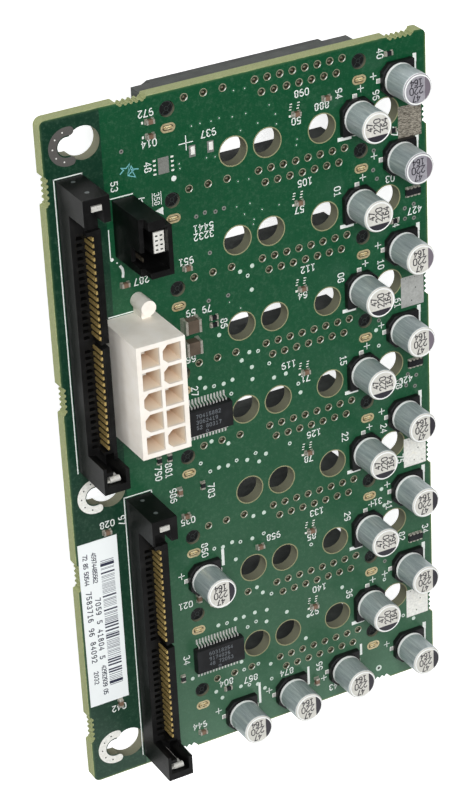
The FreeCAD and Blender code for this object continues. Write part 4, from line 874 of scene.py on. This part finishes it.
for which, vv in enumerate((-3.7, -72.3, -127.8)):
    cpads, cdots = Shape(), Shape()
    cu = -22.6
    ro, ri = 3.6, 2.0
    pts = []
    a0, a1 = 78, 282
    for i in range(25):
        a = math.radians(a0 + (a1 - a0) * i / 24)
        pts.append((cu + ro * math.cos(a), vv + ro * math.sin(a)))
    mid, hw = (ro + ri) / 2, (ro - ri) / 2
    ea = math.radians(a1)
    for i in range(1, 6):
        t = ea + math.pi * i / 6
        cx, cy = cu + mid * math.cos(ea), vv + mid * math.sin(ea)
        pts.append((cx + hw * math.cos(t), cy + hw * math.sin(t)))
    inner = []
    for i in range(25):
        a = math.radians(a1 + (a0 - a1) * i / 24)
        inner.append((cu + ri * math.cos(a), vv + ri * math.sin(a)))
    pts += inner
    sa = math.radians(a0)
    for i in range(1, 6):
        t = sa + math.pi + math.pi * i / 6
        cx, cy = cu + mid * math.cos(sa), vv + mid * math.sin(sa)
        pts.append((cx + hw * math.cos(t), cy + hw * math.sin(t)))
    outer_n = 25
    # strip between the two arcs, with rounded ends
    vs, fs = [], []
    for i in range(25):
        a = math.radians(a0 + (a1 - a0) * i / 24)
        for r in (ro, ri):
            for z in (TOP - 0.005, TOP + 0.03):
                vs.append((*W(cu + r * math.cos(a), vv + r * math.sin(a))[:2], z))
    for i in range(24):
        a, b = 4 * i, 4 * (i + 1)
        fs += [(a + 1, b + 1, b + 3, a + 3), (a, a + 2, b + 2, b), (a, b, b + 1, a + 1), (a + 2, a + 3, b + 3, b + 2)]
    fs += [(0, 1, 3, 2), (96, 98, 99, 97)]
    cpads.add(vs, fs)
    for end in (a0, a1):
        e = math.radians(end)
        x, y, _ = W(cu + mid * math.cos(e), vv + mid * math.sin(e))
        cpads.disc(x, y, hw, TOP - 0.005, TOP + 0.0299, 20)
    for i in range(5):
        a = math.radians(106 + 37 * i)
        x, y, _ = W(cu + mid * math.cos(a), vv + mid * math.sin(a))
        cdots.disc(x, y, 0.15, TOP, TOP + 0.045, 12)
    cpads.piece("keyhole_pad_%d" % (which + 1), "padbrown" if which == 0 else "padwhite", "tin")
    # dark via dots on the later pads: painted shade of the holes
    cdots.piece("keyhole_pad_vias_%d" % (which + 1), "padwhite" if which == 0 else "holedark", "tin")

for which, (u, v) in enumerate(((45.6, -15.2), (45.6, -49.5), (45.6, -84.0), (45.6, -118.5))):
    ground, gdots = Shape(), Shape()
    x, y, _ = W(u, v)
    ground.block(x - 2.5, y - 3.15, TOP - 0.005, x + 2.5, y + 3.15, TOP + 0.03, 0.02)
    for a, b in ((0.7, 0.5), (-0.2, -2.0), (1.6, -2.4))[:(0, 2, 3, 2)[which]]:
        gdots.disc(x + a, y + b, 0.13, TOP, TOP + 0.045, 10)
    for a in (-1.5, -0.5, 0.5, 1.5):
        gdots.disc(x + a, y + 2.75, 0.09, TOP, TOP + 0.04, 8)
    ground.piece("ground_pad_%d" % (which + 1), ("padrough", "padmid", "padwhite", "padwhite")[which], "tin")
    # dark via dots on the later ground pads: painted shade of the holes
    gdots.piece("ground_pad_vias_%d" % (which + 1), "padmid" if which < 1 else "holedark", "tin")

# vias: tented ones carry a ring of white print, the rest are dull
VIA = [(0.92, -57.0), (2.77, -57.2), (4.77, -57.3), (6.62, -57.0), (6.23, -59.8), (4.38, -47.2), (0.0, -54.7),
       (-0.88, -72.3), (1.62, -68.4), (5.08, -69.9), (1.0, -74.6), (2.85, -74.35), (4.77, -74.5), (6.62, -74.0),
       (8.73, -53.65), (10.38, -52.4), (12.19, -52.7), (10.77, -55.6), (10.77, -58.1), (14.42, -55.9), (15.31, -59.1),
       (17.81, -59.0), (20.38, -61.9), (20.77, -63.85), (8.85, -74.6), (10.69, -73.7), (12.88, -74.5), (11.35, -75.7),
       (18.04, -73.9), (9.58, -87.0), (11.88, -87.0), (0.92, -91.35), (2.77, -91.6), (4.77, -91.2), (6.54, -91.7),
       (5.35, -95.2), (0.85, -108.5), (2.73, -108.65), (4.62, -108.4), (6.42, -108.5), (7.15, -111.1),
       (-5.31, -118.5), (5.42, -118.5), (5.92, -120.5), (-0.42, -123.35), (5.0, -124.1), (6.88, -124.4),
       (0.85, -125.2), (9.12, -91.8), (11.62, -91.5), (9.58, -102.9), (10.81, -104.5), (12.69, -105.4),
       (8.88, -108.4), (11.5, -108.7), (9.04, -110.5), (11.31, -111.3), (15.88, -110.7), (21.85, -97.4),
       (20.62, -113.3), (19.85, -118.2), (9.08, -120.3), (11.81, -121.3), (8.73, -124.9), (11.88, -124.8),
       (10.27, -126.4), (28.42, -109.4), (38.08, -110.9), (37.88, -90.2), (38.42, -94.0), (42.27, -120.8),
       (44.69, -122.3), (37.5, -55.6), (38.0, -59.0), (9.3, -35.8), (11.8, -35.3), (10.8, -37.0), (11.5, -40.0)]
DULL = [(38.15, -53.7), (44.3, -66.9), (46.2, -67.6), (43.9, -69.2), (45.85, -69.9), (44.25, -32.3), (46.2, -31.9),
        (44.25, -34.4), (46.2, -34.7), (38.4, -24.9), (37.65, -23.0), (37.85, -19.2), (38.27, -106.7), (1.1, -22.85),
        (2.85, -22.5), (4.96, -22.85), (6.69, -22.65), (2.65, -39.8), (6.62, -39.8), (3.4, -30.5), (-12.6, -7.1)]
DIM = [(9.7, -1.0), (11.9, -1.1), (9.2, -5.8), (11.9, -5.8), (14.2, -8.15), (16.6, -5.3), (17.8, -7.3), (10.7, -8.7),
       (17.9, -9.2), (22.0, -13.1), (21.8, -14.2), (9.7, -18.2), (11.9, -18.3), (9.2, -23.0), (11.9, -23.0),
       (10.7, -24.8), (14.3, -24.8), (17.8, -24.8), (12.6, -26.3), (12.4, -27.2), (6.75, -41.2), (9.0, -43.0),
       (1.1, -5.6), (2.8, -5.5), (5.0, -5.6), (6.6, -5.4), (3.7, -12.2), (-1.7, -12.0), (-1.6, -12.9), (5.4, -12.4)]


def via(shape, dark, u, v, r=0.45, hole=0.17):
    x, y, _ = W(u, v)
    shape.lathe(x, y, [(hole, TOP - 0.01), (r, TOP - 0.01), (r, TOP + 0.02), (r * 0.82, TOP + 0.04), (hole, TOP + 0.015)], 16)
    # dark disc in the drill hole: painted shade
    dark.disc(x, y, hole + 0.01, TOP - 0.01, TOP + 0.008, 10)


wv, dv, mv, hd, fill2 = Shape(), Shape(), Shape(), Shape(), Shape()
fill = Shape()
for n, (u, v) in enumerate(VIA):
    if n % 3 == 1:
        via(wv, hd, u, v, 0.4)
    else:
        x, y, _ = W(u, v)
        fill.lathe(x, y, [(0.42, TOP - 0.01), (0.42, TOP + 0.012), (0.3, TOP + 0.03), (0.1, TOP + 0.036)], 16, closed=False)
        mv.lathe(x, y, [(0.41, TOP - 0.01), (0.55, TOP - 0.01), (0.55, TOP + 0.006), (0.41, TOP + 0.01)], 16)
fill.piece("vias_filled", "viafill", "tin")
via(wv, hd, 36.31, -131.2, 0.68, 0.3)
for u, v in DULL:
    via(dv, hd, u, v, 0.42)
for u, v in DIM:
    via(mv, hd, u, v, 0.42, 0.2)
    x, y, _ = W(u, v)
    fill2.disc(x + 0.05, y - 0.04, 0.13, TOP - 0.005, TOP + 0.016, 10)
wv.piece("vias_white", "viafill", "tin")
dv.piece("vias_grey", "padgrey", "tin")
mv.piece("vias_masked", "trace", "laminate")
hd.piece("via_centres", "holedark", "laminate")
fill2.piece("via_plugs", "viafill", "tin")

# ---------------------------------------------------------------------------
# solder pads found from the pieces that stand on them
# ---------------------------------------------------------------------------
def islands(name):
    """Boxes of the separate solids in a CAD node, in millimetres."""
    o = nodes[name]
    me = o.data
    vs = [tuple(round(c * 1000, 3) for c in (o.matrix_world @ v.co)) for v in me.vertices]
    first = {}
    par = list(range(len(vs)))

    def root(i):
        while par[i] != i:
            par[i] = par[par[i]]
            i = par[i]
        return i

    for i, v in enumerate(vs):
        j = first.setdefault(v, i)
        par[root(i)] = root(j)
    for e in me.edges:
        a, b = root(e.vertices[0]), root(e.vertices[1])
        if a != b:
            par[a] = b
    box = {}
    for i, v in enumerate(vs):
        b = box.setdefault(root(i), [list(v), list(v)])
        for k in range(3):
            b[0][k] = min(b[0][k], v[k])
            b[1][k] = max(b[1][k], v[k])
    return sorted(box.values())


def hip(shape, x0, y0, x1, y1, grow, z1):
    """Pad with a low solder fillet rising to the middle."""
    a = [(x0 - grow, y0 - grow, TOP - 0.004), (x1 + grow, y0 - grow, TOP - 0.004),
         (x1 + grow, y1 + grow, TOP - 0.004), (x0 - grow, y1 + grow, TOP - 0.004)]
    b = [(x, y, TOP + 0.03) for x, y, _ in a]
    c = [(x0, y0, z1), (x1, y0, z1), (x1, y1, z1), (x0, y1, z1)]
    f = [(3, 2, 1, 0), (8, 9, 10, 11)]
    for i in range(4):
        j = (i + 1) % 4
        f += [(i, j, 4 + j, 4 + i), (4 + i, 4 + j, 8 + j, 8 + i)]
    shape.add(a + b + c, f)


joints = Shape()
for lo, hi in islands("chip_end_caps"):
    tall = hi[2] - lo[2]
    if min(hi[0] - lo[0], hi[1] - lo[1]) < 0.02 or lo[2] > TOP + 0.4:
        continue
    hip(joints, lo[0] - 0.02, lo[1] - 0.02, hi[0] + 0.02, hi[1] + 0.02, min(0.13, 0.06 + tall * 0.06), TOP + tall * 0.4)
joints.piece("chip_solder", "solder", "tin")
feet = Shape()
for name in ("upper_ic_leads", "lower_ic_leads"):
    blo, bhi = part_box(name.replace("leads", "body"))
    cy = (blo.y + bhi.y) * 500
    for lo, hi in islands(name):
        away = 1 if (lo[1] + hi[1]) / 2 > cy else -1
        tip = hi[1] if away > 0 else lo[1]
        y0, y1 = (tip - 0.7, tip + 0.35) if away > 0 else (tip - 0.35, tip + 0.7)
        feet.block(lo[0] - 0.05, y0, TOP - 0.004, hi[0] + 0.05, y1, TOP + 0.04, 0.02)
feet.piece("ic_solder", "tin", "tin")
# lands are real pads; their pure white is a painted highlight of the solder
lands = Shape()
for lo, hi in islands("capacitor_leads"):
    if (hi[0] - lo[0]) * (hi[1] - lo[1]) > 0.3:
        lands.block(lo[0] - 0.14, lo[1] - 0.12, TOP - 0.004, hi[0] + 0.14, hi[1] + 0.12, TOP + 0.035, 0.02)
lands.piece("capacitor_lands", "padwhite", "tin")

# ---------------------------------------------------------------------------
# capacitor ends: three rows of plain numbers and the dark polarity field
# ---------------------------------------------------------------------------
cans = []
for i in range(1, 20):
    lo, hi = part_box("capacitor_can_%02d" % i)
    cans.append(((lo.x + hi.x) * 500, (lo.y + hi.y) * 500, (hi.x - lo.x) * 500, hi.z * 1000))
dark_f, soft_f, digits, lip = Shape(), Shape(), Shape(), Shape()
for i, (cx, cy, r, zt) in enumerate(cans):
    mid = i < 7
    base = -90.0 if mid else 0.0
    face = zt - 0.028
    rr = r - 0.42
    half = 58.0
    pts = [(cx + rr * math.cos(math.radians(base - half + 2 * half * k / 20)),
            cy + rr * math.sin(math.radians(base - half + 2 * half * k / 20))) for k in range(21)]
    (dark_f if (mid or i > 10) else soft_f).prism(pts, face - 0.02, face + 0.012)
    turn = 90 if mid else 180
    ca, sa = math.cos(math.radians(turn)), math.sin(math.radians(turn))
    for row, (word, high) in enumerate((("47", 1.1), ("220", 1.34), ("164", 1.16))):
        off, along = 1.6 - 1.5 * row, 0.4
        px = cx + along * ca - off * sa
        py = cy + along * sa + off * ca
        text(digits, word, px, py, turn, high, face - 0.015, face + 0.014, 0.19, high * 0.74,
             at=lambda a, b: (a, b, 0.0))
dark_f.piece("can_marks", "inkdark", "can_aluminium")
soft_f.piece("can_marks_glossy", "inksoft", "can_aluminium")
digits.piece("can_numbers", "inkdark", "can_aluminium")

# chips: three rows of plain numbers and the first-pin dimple
icn = Shape()
for name, rows in (("upper_ic_body", ("70415882", "3062419", "52 80317")), ("lower_ic_body", ("60318254", "9174026", "48 72053"))):
    lo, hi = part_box(name)
    cx, cy, zt = (lo.x + hi.x) * 500, (lo.y + hi.y) * 500, hi.z * 1000
    for row, word in enumerate(rows):
        x = cx - 2.3
        for ch in word:
            if ch != " ":
                text(icn, ch, x, cy + 1.35 - 1.15 * row, 0, 0.72, zt - 0.01, zt + 0.012, 0.11, at=lambda a, b: (a, b, 0.0))
            x += 0.66
    icn.lathe(cx - 0.4, cy - 2.0, [(0.2, zt - 0.01), (0.3, zt - 0.01), (0.3, zt + 0.01), (0.2, zt + 0.012)], 16)
icn.piece("ic_numbers", "icink", "ic_black")

# label: one block of bars and columns of plain numbers
lo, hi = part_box("paper_label")
zl = hi.z * 1000
bars, faint, nums = Shape(), Shape(), Shape()
brnd = random.Random(5)
strong = [87.05, 88.8, 93.85, 96.9, 99.95, 100.6, 101.4, 102.45, 102.95, 107.85, 108.4, 109.05, 110.05, 110.6, 112.9]
v = 86.1
while v < 113.6:
    w = brnd.choice((0.1, 0.13, 0.16))
    x0, y0, _ = W(-22.75, -v - w)
    x1, y1, _ = W(-20.05, -v)
    if not any(abs(v - q) < 0.45 for q in strong):
        faint.block(x0, y0, zl - 0.004, x1, y1, zl + 0.006)
    v += w + brnd.choice((0.12, 0.16, 0.22, 0.3))
for q in strong:
    w = 0.62 if q in (87.05, 112.9) else 0.34
    x0, y0, _ = W(-22.8, -q - w / 2)
    x1, y1, _ = W(-20.0, -q + w / 2)
    bars.block(x0, y0, zl - 0.004, x1, y1, zl + 0.008)
bars.piece("label_bars", "labelink", "label_paper")
faint.piece("label_thin_bars", "printgrey", "label_paper")


def column(u, v0, v1, high, step):
    v = v0
    while v > v1:
        if brnd.random() > 0.12:
            text(nums, brnd.choice("0123456789"), u, v, -90, high, zl - 0.004, zl + 0.008, high * 0.19)
        v -= step


column(-25.75, -84.1, -90.1, 0.85, 0.6)
column(-24.0, -84.1, -90.1, 0.85, 0.6)
column(-25.6, -92.2, -98.6, 1.0, 0.98)
column(-25.6, -100.2, -102.0, 1.0, 0.98)
column(-25.5, -103.2, -108.0, 1.0, 0.98)
column(-25.4, -109.8, -112.6, 0.85, 0.75)
column(-23.85, -93.1, -107.0, 1.0, 0.98)
column(-23.7, -108.9, -115.2, 0.85, 0.6)
nums.piece("label_numbers", "labelink", "label_paper")

# ---------------------------------------------------------------------------
# bare footprints, test pads and the cut rims of the air holes
# ---------------------------------------------------------------------------
bare, rough_p = Shape(), Shape()


def pad(shape, u, v, w, h, z=0.035):
    x, y, _ = W(u, v)
    shape.block(x - w / 2, y - h / 2, TOP - 0.004, x + w / 2, y + h / 2, TOP + z, 0.02)


pad(rough_p, -4.7, -11.6, 2.1, 3.1)
for vv in (-10.35, -11.2, -12.05, -12.9):
    pad(bare, -6.45, vv, 0.55, 0.34)
    pad(bare, -2.95, vv, 0.55, 0.34)
for uu in (1.04, 4.65):
    pad(rough_p, uu, -10.3, 1.3, 2.2)
    pad(bare, uu + 0.1, -10.2, 0.8, 1.5, 0.06)
for uu, vv in ((-8.25, -2.85), (-8.3, -5.55)):
    pad(bare, uu, vv, 0.35, 0.5)
for k in range(7):
    for j in range(3):
        pad(bare, 21.05 - 0.1 * j, -6.25 - PITCH * k - 0.52 * j, 0.5, 0.2)
        pad(bare, 22.6 - 0.1 * j, -6.25 - PITCH * k - 0.52 * j, 0.5, 0.2)
    pad(bare, 20.75, -8.5 - PITCH * k, 0.45, 0.4)
bare.piece("bare_pads", "padwhite", "tin")
rough_p.piece("bare_lands", "padgrey", "tin")

rims = Shape()
for k in range(7):
    for uu in VENT_U:
        x, y, _ = W(uu, VENT_V - PITCH * k)
        rims.lathe(x, y, [(2.69, TOP - 0.05), (2.92, TOP - 0.01), (2.9, TOP + 0.012), (2.74, TOP + 0.012), (2.69, TOP - 0.012)], 40)
rims.piece("air_hole_rims", "laminate", "laminate")

# ---------------------------------------------------------------------------
# camera, light, floor
# ---------------------------------------------------------------------------
cam_data = bpy.data.cameras.new("camera")
cam = bpy.data.objects.new("camera", cam_data)
bpy.context.scene.collection.objects.link(cam)
cam_data.sensor_fit = "VERTICAL"
cam_data.sensor_height = 36.0
cam_data.sensor_width = 36.0
cam_data.lens = 121.5
cam_data.clip_start = 0.01
cam_data.clip_end = 10.0
right, up, back = (0.87445, -0.04498, 0.48303), (0.26342, 0.88014, -0.39492), (-0.40736, 0.47258, 0.78149)
mw = Matrix.Identity(4)
for i in range(3):
    mw[i][0], mw[i][1], mw[i][2] = right[i], up[i], back[i]
mw[0][3], mw[1][3], mw[2][3] = -0.20609, 0.23954, 0.40184
cam.matrix_world = mw
bpy.context.scene.camera = cam

fm = Mat("studio_floor")
fn = fm.noise(0.02, 3, 0.5)
fm.set("Base Color", fm.ramp(fn, [(0.3, (0.86, 0.86, 0.86, 1)), (0.7, (0.9, 0.9, 0.9, 1))]))
fm.set("Roughness", 0.9)
fm.p.inputs["Emission Color"].default_value = (1, 1, 1, 1)
lp = fm.nt.nodes.new("ShaderNodeLightPath")
fm.set("Emission Strength", fm.range(lp.outputs["Is Camera Ray"], 0.0, 1.0, 0.2, 0.8))
me = bpy.data.meshes.new("floor")
n, size = 24, 3.0
vs, fs = [], []
for j in range(n + 1):
    for i in range(n + 1):
        x, y = (i / n - 0.5) * size, (j / n - 0.5) * size
        d = max(0.0, math.hypot(x, y) - 1.1)
        vs.append((x, y, -0.0002 + d * d * 0.25))
for j in range(n):
    for i in range(n):
        a = j * (n + 1) + i
        fs.append((a, a + 1, a + n + 2, a + n + 1))
me.from_pydata(vs, [], fs)
me.materials.append(fm.m)
for p in me.polygons:
    p.use_smooth = True
floor = bpy.data.objects.new("floor", me)
bpy.context.scene.collection.objects.link(floor)


def area(name, loc, target, size, power, sy=None):
    d = bpy.data.lights.new(name, "AREA")
    d.energy = power
    d.size = size
    if sy:
        d.shape = "RECTANGLE"
        d.size_y = sy
    o = bpy.data.objects.new(name, d)
    bpy.context.scene.collection.objects.link(o)
    o.location = loc
    o.rotation_euler = (Vector(target) - Vector(loc)).to_track_quat("-Z", "Y").to_euler()
    return o


area("key", (-0.25, 0.45, 0.95), (0, 0, 0.01), 0.6, 11.0)
area("fill", (-0.8, -0.2, 0.55), (0, 0, 0.01), 0.5, 1.5)
area("low", (0.45, -0.85, 0.5), (0, 0, 0.01), 0.45, 2.0)

world = bpy.data.worlds.new("studio")
bpy.context.scene.world = world
world.use_nodes = True
bg = world.node_tree.nodes["Background"]
bg.inputs[0].default_value = (1, 1, 1, 1)
bg.inputs[1].default_value = 0.08

sc = bpy.context.scene
sc.view_settings.view_transform = "Standard"
sc.view_settings.look = "None"
sc.cycles.use_denoising = True
